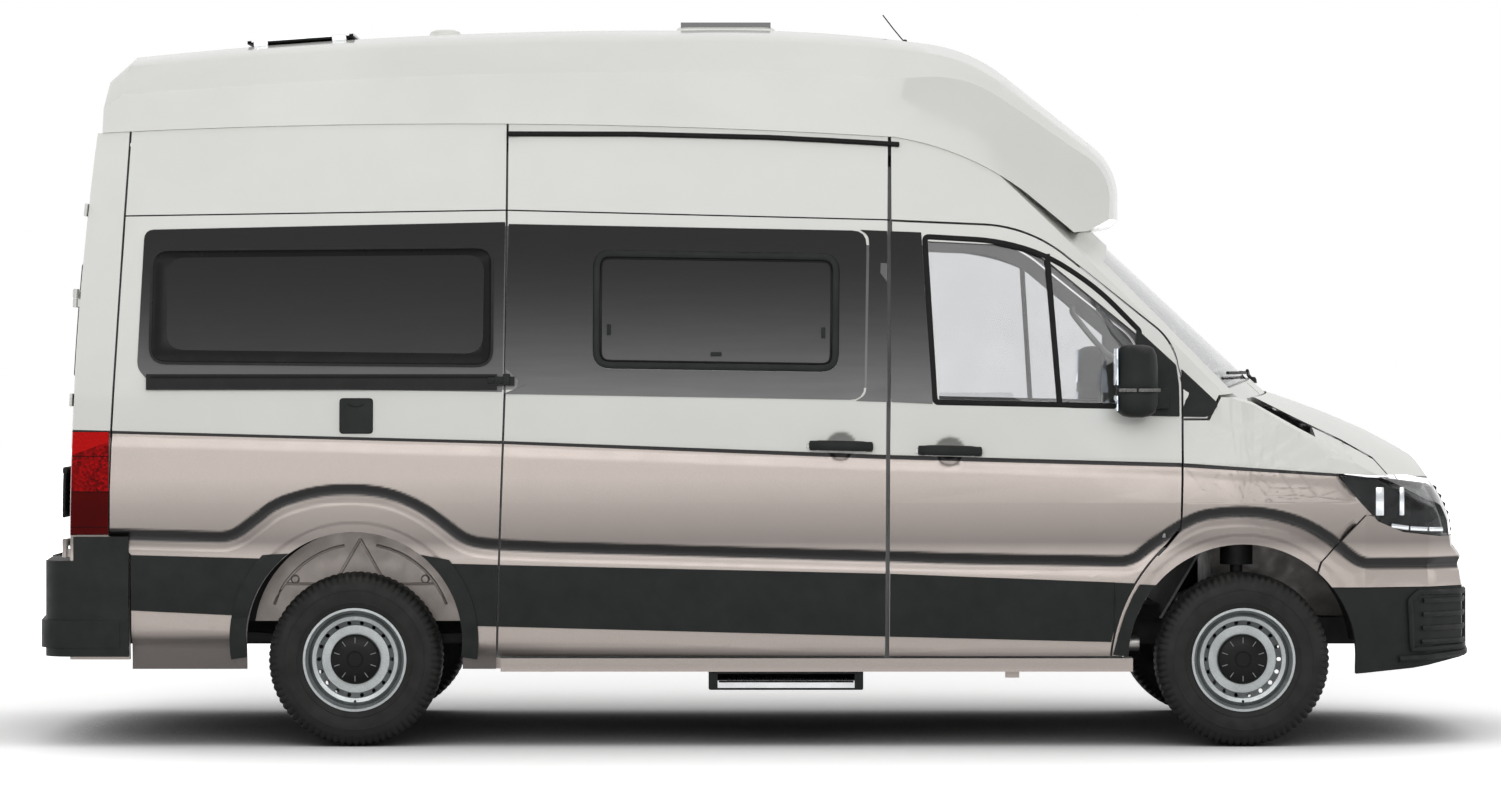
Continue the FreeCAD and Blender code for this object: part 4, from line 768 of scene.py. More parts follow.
def flankSheet(name, outline, side, body, look, lift=0.003, depth=0.006, cell=0.09, hole=None):
    # a plate on the skin, cut out by loops in the side view
    form = sheetForm([outline] + ([hole] if hole else []), side, lambda wide: int(wide / cell))
    form.normal_update()
    if list(form.faces)[0].normal.y * side < 0:
        bmesh.ops.reverse_faces(form, faces=form.faces)
    outs = {}
    for vert in list(form.verts):
        base, outs[vert] = flankSpot(vert.co.x, vert.co.z, side)
        vert.co = base + outs[vert] * lift
    made = bmesh.ops.extrude_edge_only(form, edges=[edge for edge in form.edges if edge.is_boundary])
    for vert in [part for part in made["geom"] if isinstance(part, bmesh.types.BMVert)]:
        near = min((edge.other_vert(vert) for edge in vert.link_edges if edge.other_vert(vert) in outs),
                   key=lambda other: (other.co - vert.co).length)
        vert.co -= outs[near] * depth
    return closedPiece(form, name, body, look)


def strip(name, path, section, body, look, spot, upright, closed=True, spacing=0.06):
    # a bar along a path; spot gives its foot and the way out, upright turns a run into the way across
    form = bmesh.new()
    points = spacedPath(list(path) + ([path[0]] if closed else []), spacing)
    if closed:
        points = points[:-1]
    rings, count = [], len(points)
    for number, point in enumerate(points):
        last = points[number - 1] if closed or number else point
        after = points[(number + 1) % count] if closed or number + 1 < count else point
        across = upright(after[0] - last[0], after[1] - last[1])
        base, out = spot(*point)
        rings.append([base + across * shift + out * rise for shift, rise in section])
    loft(form, rings, closed)
    return closedPiece(form, name, body, look)


def flankStrip(name, path, section, side, body, look, closed=True, spacing=0.06):
    # section runs (across, out); across is up where the path runs to the nose
    def upright(run, rise):
        way = Vector((run, 0, rise))
        way = way.normalized() if way.length > 1e-9 else Vector((1, 0, 0))
        return Vector((-way.z, 0, way.x))

    return strip(name, path, section, body, look, lambda x, z: flankSpot(x, z, side), upright, closed, spacing)


def tailStrip(name, path, section, body, look, closed=True):
    # path runs (across, up); section runs (sideways, out)
    def upright(run, rise):
        way = Vector((0, run, rise)).normalized()
        return Vector((0, -way.z, way.y))

    def spot(y, z):
        lean = tailLean(y, z)
        return Vector((tailX(y, z), y, z)), Vector((-math.cos(lean), 0, math.sin(lean)))

    return strip(name, path, section, body, look, spot, upright, closed)


def noseStrip(form, path, section):  # path holds (heading, height); section is (up, out)
    rings = []
    for number, place in enumerate(path):
        point, normal = noseAt(*place)
        before = noseAt(*path[max(0, number - 1)])[0]
        after = noseAt(*path[min(len(path) - 1, number + 1)])[0]
        out = Vector((normal.x, normal.y, normal.z * noseSearch["lean"])).normalized()
        across = out.cross((after - before).normalized()).normalized()
        rings.append([point + across * up + out * rise for up, rise in section])
    loft(form, rings)


def halfRound(width, height, base=-0.004, steps=5):
    arc = [(-math.cos(math.pi * step / steps) * width / 2, math.sin(math.pi * step / steps) * height)
           for step in range(steps + 1)]
    return [(-width / 2, base)] + arc + [(width / 2, base)]


def around(count):
    return [2 * math.pi * step / count for step in range(count)]


def lathe(form, profile, centre, steps=48, axis=1, facing=1):
    # profile runs (radius, along); turned about X, Y or Z through centre
    rings = []
    for turn in around(steps):
        ring = []
        for radius, along in profile:
            place = [0, 0, 0]
            place[axis] = along * facing
            place[(axis + 1) % 3], place[(axis + 2) % 3] = radius * math.cos(turn), radius * math.sin(turn)
            ring.append(Vector(centre) + Vector(place))
        rings.append(ring)
    loft(form, rings, closed=True, openSection=True)


def turnedPiece(name, profile, centre, body, look, steps, facing, angle=32):
    form = bmesh.new()
    lathe(form, profile, centre, steps, 1, facing)
    bmesh.ops.remove_doubles(form, verts=form.verts, dist=1e-6)
    return closedPiece(form, name, body, look, angle=angle)


def softBox(form, centre, size, bevel=0.004, turn=None):  # a block with rounded edges
    verts = bmesh.ops.create_cube(form, size=1)["verts"]
    for vert in verts:
        vert.co = Vector(centre) + Vector([vert.co[k] * size[k] for k in range(3)])
    if turn is not None:
        bmesh.ops.rotate(form, verts=verts, cent=Vector(centre), matrix=turn)
    edges = list({edge for vert in verts for edge in vert.link_edges})
    bmesh.ops.bevel(form, geom=edges, offset=min(bevel, min(size) * 0.45), segments=2, affect="EDGES", profile=0.6)


def boxPiece(name, body, look, boxes, slot=None, replaces=()):  # centre, size, bevel and turn of each block
    form = bmesh.new()
    for box in boxes:
        softBox(form, *box)
    return closedPiece(form, name, body, look, slot, replaces)


def tailBox(y, z, lift, size, bevel=0.004):
    # size is (out, across, up); the block stands on the tail and leans with it
    return (tailX(y, z) - lift, y, z), size, bevel, Matrix.Rotation(tailLean(y, z), 3, "Y")


def tubeMesh(form, points, radius, sides=8):  # a round bar through points
    rings = []
    for number, point in enumerate(points):
        before = Vector(points[max(0, number - 1)])
        after = Vector(points[min(len(points) - 1, number + 1)])
        run = (after - before).normalized()
        across = run.cross(Vector((0.1, 0.2, 1)) if abs(run.z) < 0.9 else Vector((1, 0.1, 0))).normalized()
        up = run.cross(across)
        rings.append([Vector(point) + (across * math.cos(turn) + up * math.sin(turn)) * radius
                      for turn in around(sides)])
    loft(form, rings)


def softCurve(points, steps=6):  # a smooth curve through a few corners
    points = [Vector(point) for point in points]
    made = [points[0]]
    for number in range(1, len(points) - 1):
        corner = points[number]
        start = (points[number - 1] + corner) / 2 if number > 1 else points[0]
        end = (points[number + 1] + corner) / 2 if number < len(points) - 2 else points[-1]
        made += bent(start, corner, end, steps, 1)
    return made


def arcPoints(centreX, centreZ, radius, start, end, steps=14):
    turns = [math.radians(start + (end - start) * step / steps) for step in range(steps + 1)]
    return [(centreX + radius * math.cos(turn), centreZ + radius * math.sin(turn)) for turn in turns]


def skinOnly(node, inset, thickness, name, look, replaces=()):
    # the outer faces of a lamp node, set in by inset and given a wall
    form = nodeForm(node)
    middle = 1.9 if node == "headlights" else -2.2
    away = [face for face in form.faces if not outward(face) and not (
        abs(face.normal.x) > 0.35 and face.normal.x * (face.calc_center_median().x - middle) > 0)]
    bmesh.ops.delete(form, geom=away, context="FACES")
    form.normal_update()
    moves = {vert: vert.normal.copy() for vert in form.verts}
    for vert, way in moves.items():
        vert.co -= way * inset
    if thickness:
        bmesh.ops.solidify(form, geom=list(form.faces), thickness=thickness)
    return skinned(form, name, nodes[node]["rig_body"], look, None, replaces)


# windows of the living space

glazing = {
    # black panels: name, body, the sides that carry one, corners in the side view with their radius
    "panels": [
        ("rear_black_panel_{}", "coachwork", (-1, 1), [
            (-2.512, 2.118, 0.04), (-1.032, 2.150, 0.004), (-1.041, 1.453, 0.004), (-2.467, 1.473, 0.03),
            (-2.535, 1.551, 0.03)]),
        ("door_black_panel", "coachwork", (-1,), [
            (-1.018, 2.142, 0.004), (0.452, 2.114, 0.06), (0.440, 1.42, 0.06), (-1.032, 1.445, 0.004)]),
        ("middle_black_panel_{}", "coachwork", (1,), [
            (-1.012, 2.142, 0.004), (0.452, 2.114, 0.06), (0.440, 1.42, 0.06), (-1.012, 1.445, 0.004)]),
        ("pillar_panel_{}", "coachwork", (-1, 1), [
            (0.424, 2.118, 0.004), (0.460, 2.095, 0.03), (0.462, 2.02, 0.01), (0.451, 1.50, 0.01),
            (0.446, 1.44, 0.03), (0.405, 1.416, 0.004), (0.535, 1.412, 0.004), (0.536, 2.113, 0.004)]),
        ("door_pillar_panel_{}", "{}_front_door", (-1, 1), [
            (0.550, 2.112, 0.004), (0.676, 2.108, 0.004), (0.720, 1.404, 0.004), (0.550, 1.412, 0.004)]),
    ],
    "podOuter": [(-2.483, 2.040), (-1.078, 2.052), (-1.078, 1.553), (-2.488, 1.566)],
    "podInner": [(-2.420, 2.006), (-1.118, 2.018), (-1.122, 1.612), (-2.418, 1.628)],
    "podDepth": 0.022,
    "sideOuter": [(-0.670, 2.036), (0.341, 2.020), (0.336, 1.533), (-0.671, 1.548)],
    "radius": 0.075,
    "frameWidth": 0.030,
    "edges": (2.09, 1.50),  # heights of the openings' top and bottom
    "bulge": 0.006,
    "catches": [(-0.605, 1.708, 0.016, 0.045), (0.273, 1.695, 0.016, 0.045), (-0.166, 1.608, 0.045, 0.016)],
}


def shrunk(points, amount):
    middleX, middleZ = (sum(values) / len(points) for values in zip(*points))
    return [(x - math.copysign(amount, x - middleX), z - math.copysign(amount, z - middleZ)) for x, z in points]


def shrunkLoop(loop, amount):
    made, count = [], len(loop)
    middle = Vector([sum(values) / count for values in zip(*loop)])
    for number, (x, z) in enumerate(loop):
        before, after = loop[number - 1], loop[(number + 1) % count]
        inward = Vector((before[1] - after[1], after[0] - before[0]))
        towards = middle - Vector((x, z))
        inward = inward.normalized() if inward.length else towards
        if inward.dot(towards) < 0:
            inward = -inward
        made.append((x + inward.x * amount, z + inward.y * amount))
    return made


def paneY(x, z, side):
    # the skin carried straight over a window from its top edge to its bottom edge
    top, bottom = glazing["edges"]
    high, low = flankY(x, top, side), flankY(x, bottom, side)
    share = (z - bottom) / (top - bottom)
    return low + (high - low) * share + side * glazing["bulge"] * math.sin(math.pi * min(1, max(0, share)))


def paneSheet(name, loop, side, lift, look, replaces=()):
    form = sheetForm([loop], side, lambda wide: 8)
    for vert in form.verts:
        x, z = vert.co.x, vert.co.z
        vert.co = Vector((x, paneY(x, z, side), z)) + flankOut(x, z, side) * lift
    form.normal_update()
    if list(form.faces)[0].normal.y * side < 0:
        bmesh.ops.reverse_faces(form, faces=form.faces)
    bmesh.ops.solidify(form, geom=list(form.faces), thickness=0.004)
    skinned(form, name, "coachwork", look, None, replaces)


def makeGlazing():
    radius, width, depth = glazing["radius"], glazing["frameWidth"], glazing["podDepth"]
    pod, podGlass, side = (roundCorners(glazing[loop], radius) for loop in ("podOuter", "podInner", "sideOuter"))
    sidePane = roundCorners(shrunk(glazing["sideOuter"], width), radius * 0.7)
    holes = {"rear": pod, "door_black_panel": side, "middle": side}
    for name, body, sides, outline in glazing["panels"]:
        for hand, word in hands:
            if hand in sides:
                hole = holes.get(name) or holes.get(name.split("_")[0])
                flankSheet(name.format(word), roundCorners(outline, 0.004, 4), hand, body.format(word),
                           "blackPanelGlass", hole=hole)
    for hand, word in hands:
        # bevelled pod round the rear window, then its pane
        rows = [(pod, 0.0045), (shrunkLoop(pod, 0.010), 0.004), (shrunkLoop(pod, 0.022), -depth * 0.55),
                (podGlass, -depth)]
        form = bmesh.new()
        loft(form, [[Vector((x, paneY(x, z, hand), z)) + flankOut(x, z, hand) * lift for x, z in loop]
                    for loop, lift in rows], caps=False)
        closedPiece(form, f"rear_window_pod_{word}", "coachwork", "smoothBlack", angle=50)
        paneSheet(f"rear_window_pane_{word}", podGlass, hand, -depth, "deepPaneGlass",
                  ("side_windows",) if hand < 0 else ())
        flankStrip(f"side_window_frame_{word}", shrunkLoop(side, width / 2), halfRound(width, 0.010, -0.008), hand,
                   "coachwork", "grainedPlastic")
        flankStrip(f"side_window_seal_{word}", shrunkLoop(side, width + 0.004), halfRound(0.008, 0.005, -0.008), hand,
                   "coachwork", "sealRubber")
        paneSheet(f"side_window_pane_{word}", sidePane, hand, -0.002, "blackPanelGlass")
        boxPiece(f"window_catches_{word}", "coachwork", "grainedPlastic",
                 [((x, paneY(x, z, hand) + hand * 0.001, z), (wide, 0.008, tall), 0.006)
                  for x, z, wide, tall in glazing["catches"]])


makeGlazing()
print("living space glazed")

# door furniture, rails and flaps

furniture = {
    "handles": [  # name, side, body, middle x, middle z
        ("slide", -1, "coachwork", 0.345, 1.232),
        ("front_right", -1, "right_front_door", 0.790, 1.212),
        ("front_left", 1, "left_front_door", 0.790, 1.212),
    ],
    "gripHalf": 0.131,
    "gripTall": 0.044,
    "gripDeep": 0.011,
    "gripSlope": -0.022,
    "gripRise": (0.012, 0.026),  # at the ends, and more at the middle
    "feet": (-0.86, 0.86),  # shares of the half length
    "lock": [(0.0, 0.004), (0.010, 0.004), (0.0115, 0.002), (0.0115, -0.004)],
    "rainRail": [(-1.022, 2.513), (-0.5, 2.512), (0.1, 2.497), (0.585, 2.470)],
    "rainSection": [(-0.010, -0.004), (-0.010, 0.010), (-0.004, 0.016), (0.010, 0.012), (0.012, -0.004)],
    "seam": [(-2.593, 2.175), (-1.033, 2.199), (0.548, 2.159)],
    "flap": [(-1.702, 1.424), (-1.572, 1.424), (-1.572, 1.286), (-1.702, 1.286)],
    "notch": [(-0.002, 0.010), (-0.002, 0.0145), (0.002, 0.0145), (0.002, 0.010)],
}


def makeFurniture():
    half, tall, slope = furniture["gripHalf"], furniture["gripTall"], furniture["gripSlope"]
    low, more = furniture["gripRise"]
    for word, side, body, x, z in furniture["handles"]:
        form, rings, out = bmesh.new(), [], flankOut(x, z, side)
        for step in range(13):  # a bowed bar that meets the skin at both ends
            share = step / 12 * 2 - 1
            rise = low + more * (1 - share ** 4)
            thick = tall / 2 * max(0.25, 1 - abs(share) ** 8) ** 0.5
            base = Vector((x + share * half, flankY(x, z, side), z + slope * share * half))
            rings.append([base + Vector((0, 0, math.sin(turn) * thick)) +
                          out * (rise + math.cos(turn) * furniture["gripDeep"]) for turn in around(10)])
        loft(form, rings)
        for share in furniture["feet"]:
            softBox(form, (x + share * half, flankY(x, z, side) + side * 0.008, z + slope * share * half),
                    (0.034, 0.03, tall * 0.9), 0.006)
        closedPiece(form, f"{word}_handle", body, "grainedPlastic")
        turnedPiece(f"{word}_lock", furniture["lock"], (x - half, flankY(x, z, side), z), body, "bareSteel", 20, side)
    flankStrip("rain_rail", furniture["rainRail"], furniture["rainSection"], -1, "coachwork", "smoothBlack", False)
    for side, word in hands:
        flankStrip(f"upper_seam_{word}", furniture["seam"], halfRound(0.006, 0.0015), side, "coachwork", "sealRubber",
                   False)
    outline = roundCorners(furniture["flap"], 0.012, 4)
    flankSheet("power_inlet_cover", outline, -1, "coachwork", "grainedPlastic", 0.012, 0.016, 0.04)
    flankStrip("power_inlet_surround", outline, halfRound(0.008, 0.006), -1, "coachwork", "sealRubber")
    notch = [(-1.672 + 0.07 * step / 6, 1.402 - 0.010 * math.sin(math.pi * step / 6)) for step in range(7)]
    flankStrip("power_inlet_notch", notch, furniture["notch"], -1, "coachwork", "sealRubber", False)


makeFurniture()
print("door furniture made")

# cab glass surrounds, mirrors and arch trims

cabTrim = {
    "windowEdge": [(0.690, 2.090, 0.02), (0.999, 2.073, 0.2), (1.203, 2.011, 0.12), (1.407, 1.873, 0.1),
                   (1.572, 1.704, 0.01), (1.568, 1.392, 0.01), (0.729, 1.410, 0.02)],
    "divider": [(1.196, 2.020), (1.241, 1.396)],
    "dividerSection": [(-0.011, -0.016), (-0.011, 0.003), (0.011, 0.003), (0.011, -0.016)],
    "plates": [  # name, body, lift, depth, corner steps, corners
        ("{}_mirror_foot", "{}_front_door", 0.007, 0.014, 4, [
            (1.560, 1.712, 0.006), (1.722, 1.562, 0.01), (1.731, 1.480, 0.01), (1.732, 1.352, 0.004),
            (1.545, 1.356, 0.012), (1.558, 1.395, 0.004)]),
        ("{}_pillar_foot", "coachwork", 0.007, 0.014, 4, [
            (1.743, 1.545, 0.004), (1.884, 1.412, 0.012), (1.890, 1.395, 0.012), (1.852, 1.350, 0.02),
            (1.745, 1.351, 0.004)]),
        ("{}_door_cladding_end", "{}_front_door", 0.006, 0.010, 2, [
            (1.462, 0.674, 0.003), (1.546, 0.671, 0.003), (1.515, 0.612, 0.003), (1.478, 0.52, 0.02),
            (1.460, 0.432, 0.003)]),
    ],
    "rearArch": (-1.646, 0.439),
    "frontArch": (1.990, 0.362),
    "archRadii": (0.443, 0.509),
    "rearArcs": [("rear", (189, 127), (137, 189)), ("middle", (52, -9), (-9, 40))],  # degrees, inner and outer
    "frontSeam": [(1.460, 0.378), (1.478, 0.455), (1.505, 0.545), (1.540, 0.625), (1.566, 0.666)],
}


def makeCabTrim():
    edge = roundCorners(cabTrim["windowEdge"], 0.02, 5)
    near, far = cabTrim["archRadii"]
    for side, word in hands:
        door = f"{word}_front_door"
        flankStrip(f"{word}_door_window_seal", edge, halfRound(0.024, 0.005, -0.012), side, door, "sealRubber",
                   spacing=0.05)
        flankStrip(f"{word}_door_divider", cabTrim["divider"], cabTrim["dividerSection"], side, door, "sealRubber",
                   False)
        for name, body, lift, depth, steps, corner in cabTrim["plates"]:
            flankSheet(name.format(word), roundCorners(corner, 0.004, steps), side, body.format(word),
                       "grainedPlastic", lift, depth)
        for place, inner, outer in cabTrim["rearArcs"]:
            loop = arcPoints(*cabTrim["rearArch"], near, *inner) + arcPoints(*cabTrim["rearArch"], far, *outer)
            flankSheet(f"{word}_{place}_arch_trim", loop, side, "coachwork", "grainedPlastic", 0.008, 0.012)
        loop = arcPoints(*cabTrim["frontArch"], 0.469, 140, 179) + cabTrim["frontSeam"]
        flankSheet(f"{word}_front_arch_trim", loop, side, "coachwork", "grainedPlastic", 0.006, 0.010)


mirror = {
    "middle": (1.543, 1.105),   # along the van, out from its middle line
    "half": (0.088, 0.098),
    "heights": [(1.350, 0.30), (1.356, 0.62), (1.372, 0.86), (1.400, 0.97), (1.436, 1.0), (1.452, 0.985),
                (1.462, 0.95), (1.472, 0.985), (1.50, 1.0), (1.56, 0.985), (1.605, 0.93), (1.630, 0.80),
                (1.642, 0.58), (1.646, 0.30)],
    "back": 1.462,   # where the glass stands
    "steps": 32,
    "lampCells": 15,
}


def makeMirrors():
    middleX, middleY = mirror["middle"]
    halfX, halfY = mirror["half"]
    back = mirror["back"]

    def outline(turn, inset=0.0):  # a rounded block seen from above
        cosine, sine = math.cos(turn), math.sin(turn)
        return ((halfX - inset) * math.copysign(abs(cosine) ** 0.8, cosine),
                (halfY - inset) * math.copysign(abs(sine) ** 0.7, sine))

    for side, word in hands:
        body = f"{word}_front_door"
        form, rings = bmesh.new(), []
        for height, grow in mirror["heights"]:
            spots = [outline(turn) for turn in around(mirror["steps"])]
            rings.append([(max(middleX + x * grow, back + 0.004 * (1 - grow)), side * (middleY + y * grow), height)
                          for x, y in spots])
        loft(form, rings)
        softBox(form, (1.600, side * 1.005, 1.425), (0.07, 0.075, 0.062), 0.018)
        softBox(form, (1.640, side * 0.985, 1.425), (0.10, 0.035, 0.085), 0.015)
        closedPiece(form, f"{word}_mirror_housing", body, "grainedPlastic", None, (f"{word}_mirror",), 40)
        boxPiece(f"{word}_mirror_glass", body, "mirrorGlass",
                 [((back - 0.001, side * middleY, 1.556), (0.006, 0.158, 0.150), 0.003),
                  ((back - 0.001, side * middleY, 1.408), (0.006, 0.150, 0.062), 0.003)])
        spots = [outline(math.radians(-14 + step * 12.4), 0.001) for step in range(mirror["lampCells"])]
        boxPiece(f"{word}_mirror_lamp", body, "turnLamp",  # cells round the front and the outer end
                 [((middleX + x, side * (middleY + y), 1.4615), (0.022, 0.026, 0.015), 0.003)
                  for x, y in spots if middleX + x > back + 0.01])


makeCabTrim()
makeMirrors()
print("cab trim and mirrors made")

lamps = {
    "bars": [(2.556, 0.034), (2.650, 0.020)],  # place along the van and width of the light bars
    "barHeights": (0.945, 1.062),
    "lowStrip": [(2.60, 0.905), (2.68, 0.893), (2.76, 0.888), (2.83, 0.886)],
    "bowls": [(2.735, 0.600, 0.985, 0.046), (2.690, 0.715, 0.985, 0.046)],  # x, y, z, radius
    "bowlShares": (0.12, 0.3, 0.5, 0.7, 0.85, 1.0),
}


def makeVanLamps():
    skinOnly("headlights", 0.034, 0.0, "headlight_housings", "lampBlack", ("headlights",))
    skinOnly("headlights", 0.001, 0.003, "headlight_lenses", "clearLens")
    lampTree = skinTree("headlights")
    low, high = lamps["barHeights"]
    boxes = []
    bowls = bmesh.new()
    for side in (-1, 1):
        def lampY(x, z):
            return reached(lampTree, (x, side * 2, z), (0, -side, 0), 1.9, side * 0.8)

        for x, width in lamps["bars"]:
            z = (low + high) / 2
            boxes.append(((x, lampY(x, z) - side * 0.022, z), (width, 0.014, high - low), 0.004))
        points = [Vector((x, lampY(x, z) - side * 0.014, z)) for x, z in lamps["lowStrip"]]
        for first, second in zip(points, points[1:]):
            run = second - first
            boxes.append(((first + second) / 2, (run.length * 0.92, 0.012, 0.018), 0.003,
                          run.to_track_quat("X", "Z").to_matrix()))
        for x, y, z, radius in lamps["bowls"]:
            profile = [(radius * share, -0.032 * (1 - share * share)) for share in lamps["bowlShares"]]
            lathe(bowls, profile + [(radius * 1.1, 0.002), (radius * 1.1, -0.012)], (x, side * y, z), 28, 0)
    boxPiece("headlight_bars", "coachwork", "lampSilver", boxes)
    closedPiece(bowls, "headlight_bowls", "coachwork", "lampSilver")
    skinOnly("tail_lights", 0.0, 0.0, "tail_light_lenses", "tailRed", ("tail_lights",))


makeVanLamps()
print("lamps made")

nose = {
    # sets of slats: lowest and highest, how many, half the turn they cover, steps
    "slats": (0.868, 1.040, 6, 26, 16),
    "slat": [(-0.010, -0.010), (-0.013, 0.003), (-0.004, 0.010), (0.011, 0.006), (0.012, -0.010)],
    "intakeSlats": (0.430, 0.560, 4, 27, 14),
    "intakeSlat": [(-0.009, -0.008), (-0.009, 0.004), (0.0, 0.010), (0.009, 0.004), (0.009, -0.008)],
    "fogHeights": (0.395, 0.625),
    "fogHeadings": (36, 60),
    "fogSlat": [(-0.008, -0.006), (-0.010, 0.006), (0.0, 0.012), (0.010, 0.008), (0.008, -0.006)],
    "fogFrame": [(-0.013, -0.006), (-0.013, 0.010), (-0.004, 0.016), (0.008, 0.012), (0.013, -0.006)],
    "chin": [(-0.016, -0.006), (-0.014, 0.014), (0.0, 0.022), (0.010, 0.010), (0.012, -0.006)],
}


def slatRow(form, row, section):
    low, high, count, half, steps = row
    for number in range(count):
        z = low + (high - low) * number / (count - 1)
        noseStrip(form, [(-half + 2 * half * step / steps, z) for step in range(steps + 1)], section)


def makeNose():
    form = bmesh.new()
    slatRow(form, nose["slats"], nose["slat"])
    closedPiece(form, "grille_slats", "coachwork", "smoothBlack")
    form = bmesh.new()
    slatRow(form, nose["intakeSlats"], nose["intakeSlat"])
    start, end = nose["fogHeadings"]
    bottom, top = nose["fogHeights"]
    for side in (-1, 1):
        for number in range(4):
            z = bottom + 0.03 + (top - bottom - 0.06) * number / 3
            noseStrip(form, [(side * (start + 3 + (end - start - 6) * step / 8), z) for step in range(9)],
                      nose["fogSlat"])
        corner = [(start, bottom + 0.01), (start - 1, top), (end - 2, top + 0.004), (end, top - 0.03),
                  (end - 1, bottom), (start, bottom + 0.01)]
        path = [(side * (h0 + (h1 - h0) * step / 8), z0 + (z1 - z0) * step / 8)
                for (h0, z0), (h1, z1) in zip(corner, corner[1:]) for step in range(8)]
        noseStrip(form, path + [(side * corner[0][0], corner[0][1])], nose["fogFrame"])
    closedPiece(form, "bumper_slats", "coachwork", "grainedPlastic")
    form = bmesh.new()
    noseStrip(form, [(-62 + 124 * step / 40, 0.385 - 0.00008 * (step - 20) ** 2) for step in range(41)], nose["chin"])
    closedPiece(form, "chin_lip", "coachwork", "grainedPlastic")


makeNose()
print("nose made")

wheel = {
    "axles": [("front", 1.994), ("rear", -1.646)],  # place along the van
    "middle": 0.8705,   # out from the van's middle line
    "height": 0.356,
    "ribs": 10,
    "ribRadius": 0.075,
    "lugs": 76,
    "tread": 0.0085,
    "treadFrom": 0.34,  # radius where shoulder turns into tread
    "valveRadius": 0.172,
    "cap": [(0.0, 0.0905), (0.028, 0.0900), (0.0300, 0.0880), (0.0325, 0.0880), (0.0345, 0.0898), (0.056, 0.0880),
            (0.084, 0.0820), (0.096, 0.0765), (0.1015, 0.0690), (0.103, 0.0600), (0.1015, 0.0560), (0.094, 0.0560)],
    "stem": [(0.0, 0.030), (0.0028, 0.030), (0.0030, 0.020), (0.0045, 0.018), (0.0052, 0.002), (0.0052, -0.006)],
}
# half of the tyre's outline: radius, out from its middle, how much the sipes cut in
tyreOutline = [
    (0.2045, 0.100, 0), (0.208, 0.1035, 0), (0.2115, 0.1025, 0), (0.215, 0.1035, 0), (0.222, 0.1065, 0),
    (0.232, 0.1105, 0), (0.2335, 0.1125, 0), (0.2365, 0.1128, 0), (0.238, 0.1115, 0), (0.262, 0.1165, 0),
    (0.283, 0.1170, 0), (0.2845, 0.1182, 0), (0.2875, 0.1182, 0), (0.289, 0.1168, 0), (0.308, 0.1140, 0),
    (0.316, 0.1125, 0.35), (0.323, 0.1095, 0.8), (0.334, 0.1040, 1), (0.344, 0.0965, 1), (0.351, 0.086, 1),
    (0.3543, 0.072, 1), (0.3548, 0.066, 0.6), (0.3462, 0.0655, 0), (0.3462, 0.0575, 0), (0.3552, 0.057, 0.5),
    (0.3558, 0.032, 0.5), (0.3466, 0.0315, 0), (0.3466, 0.0215, 0), (0.3560, 0.021, 0.4), (0.3560, 0.0, 0.4),
]


def makeTyre(node, axle, side, body):
    outline = tyreOutline + [(radius, -out, cut) for radius, out, cut in tyreOutline[-2::-1]]
    form, rings = bmesh.new(), []
    for step, turn in enumerate(around(wheel["lugs"] * 3)):
        ring = []
        for radius, out, cut in outline:
            shift = 1 if out > 0.02 else 0  # the two shoulders are half a pitch apart
            deep = wheel["tread"] * cut if (step + shift) % 3 == 0 else 0
            inner, aside = (1, 0.0) if radius > wheel["treadFrom"] else (0.35, 0.45)
            far = radius - deep * inner
            ring.append((axle + far * math.cos(turn), side * (wheel["middle"] + out - math.copysign(deep * aside, out)),
                         wheel["height"] + far * math.sin(turn)))
        rings.append(ring)
    loft(form, rings, closed=True)
    closedPiece(form, node + "_tread", body, "tyreRubber", None, (node,), 28)


def makeWheels():
    for end, axle in wheel["axles"]:
        for side, word in hands:
            name = f"{end}_{word}_"
            body = name + "wheel"
            x, y, z = centre = (axle, side * wheel["middle"], wheel["height"])
            makeTyre(name + "tyre", axle, side, body)
            turnedPiece(name + "hub_cap", wheel["cap"], centre, body, "smoothBlack", 72, side, 25)
            turns = [2 * math.pi * (step + 0.5) / wheel["ribs"] for step in range(wheel["ribs"])]
            reach = wheel["ribRadius"]
            boxPiece(name + "hub_cap_ribs", body, "capGrey",
                     [((x + reach * math.cos(turn), y + side * 0.0838, z + reach * math.sin(turn)),
                       (0.030, 0.004, 0.0032), 0.001, Matrix.Rotation(-turn, 3, "Y")) for turn in turns])
            form = bmesh.new()
            lathe(form, wheel["stem"], (x, y + side * 0.074, z - wheel["valveRadius"]), 16, 1, side)
            closedPiece(form, name + "valve", body, "sealRubber", "tyre_rubber")


makeWheels()
print("wheels made")

seating = {
    "places": [-0.430, 0.430],  # across the van
    "cushion": [(0.405, 0.790), (0.925, 0.800), (0.930, 0.870), (0.885, 0.915), (0.62, 0.895), (0.44, 0.905)],
    "back": [(0.335, 0.885), (0.465, 0.925), (0.425, 1.22), (0.385, 1.400), (0.375, 1.470), (0.30, 1.478),
             (0.275, 1.420), (0.300, 1.18)],
    "cushionHalf": 0.238,
    "backHalf": 0.225,
    "spans": 15,
    "corner": 0.035,
    "taper": 0.16,  # how much less is left at the sides
    "bolster": 0.012,
    "tuck": 0.006,
    "seamEdge": 0.15,  # out from the seat's middle
    "seamDepth": 0.007,
    "seamWidth": 0.010,
    "cushionSeams": (0.52, 0.66, 0.80),
    "backSeams": (1.04, 1.16, 1.28),
    "voxel": 0.012,
    "swell": 0.016,
    "pressure": 4.0,
    "frames": 14,
}


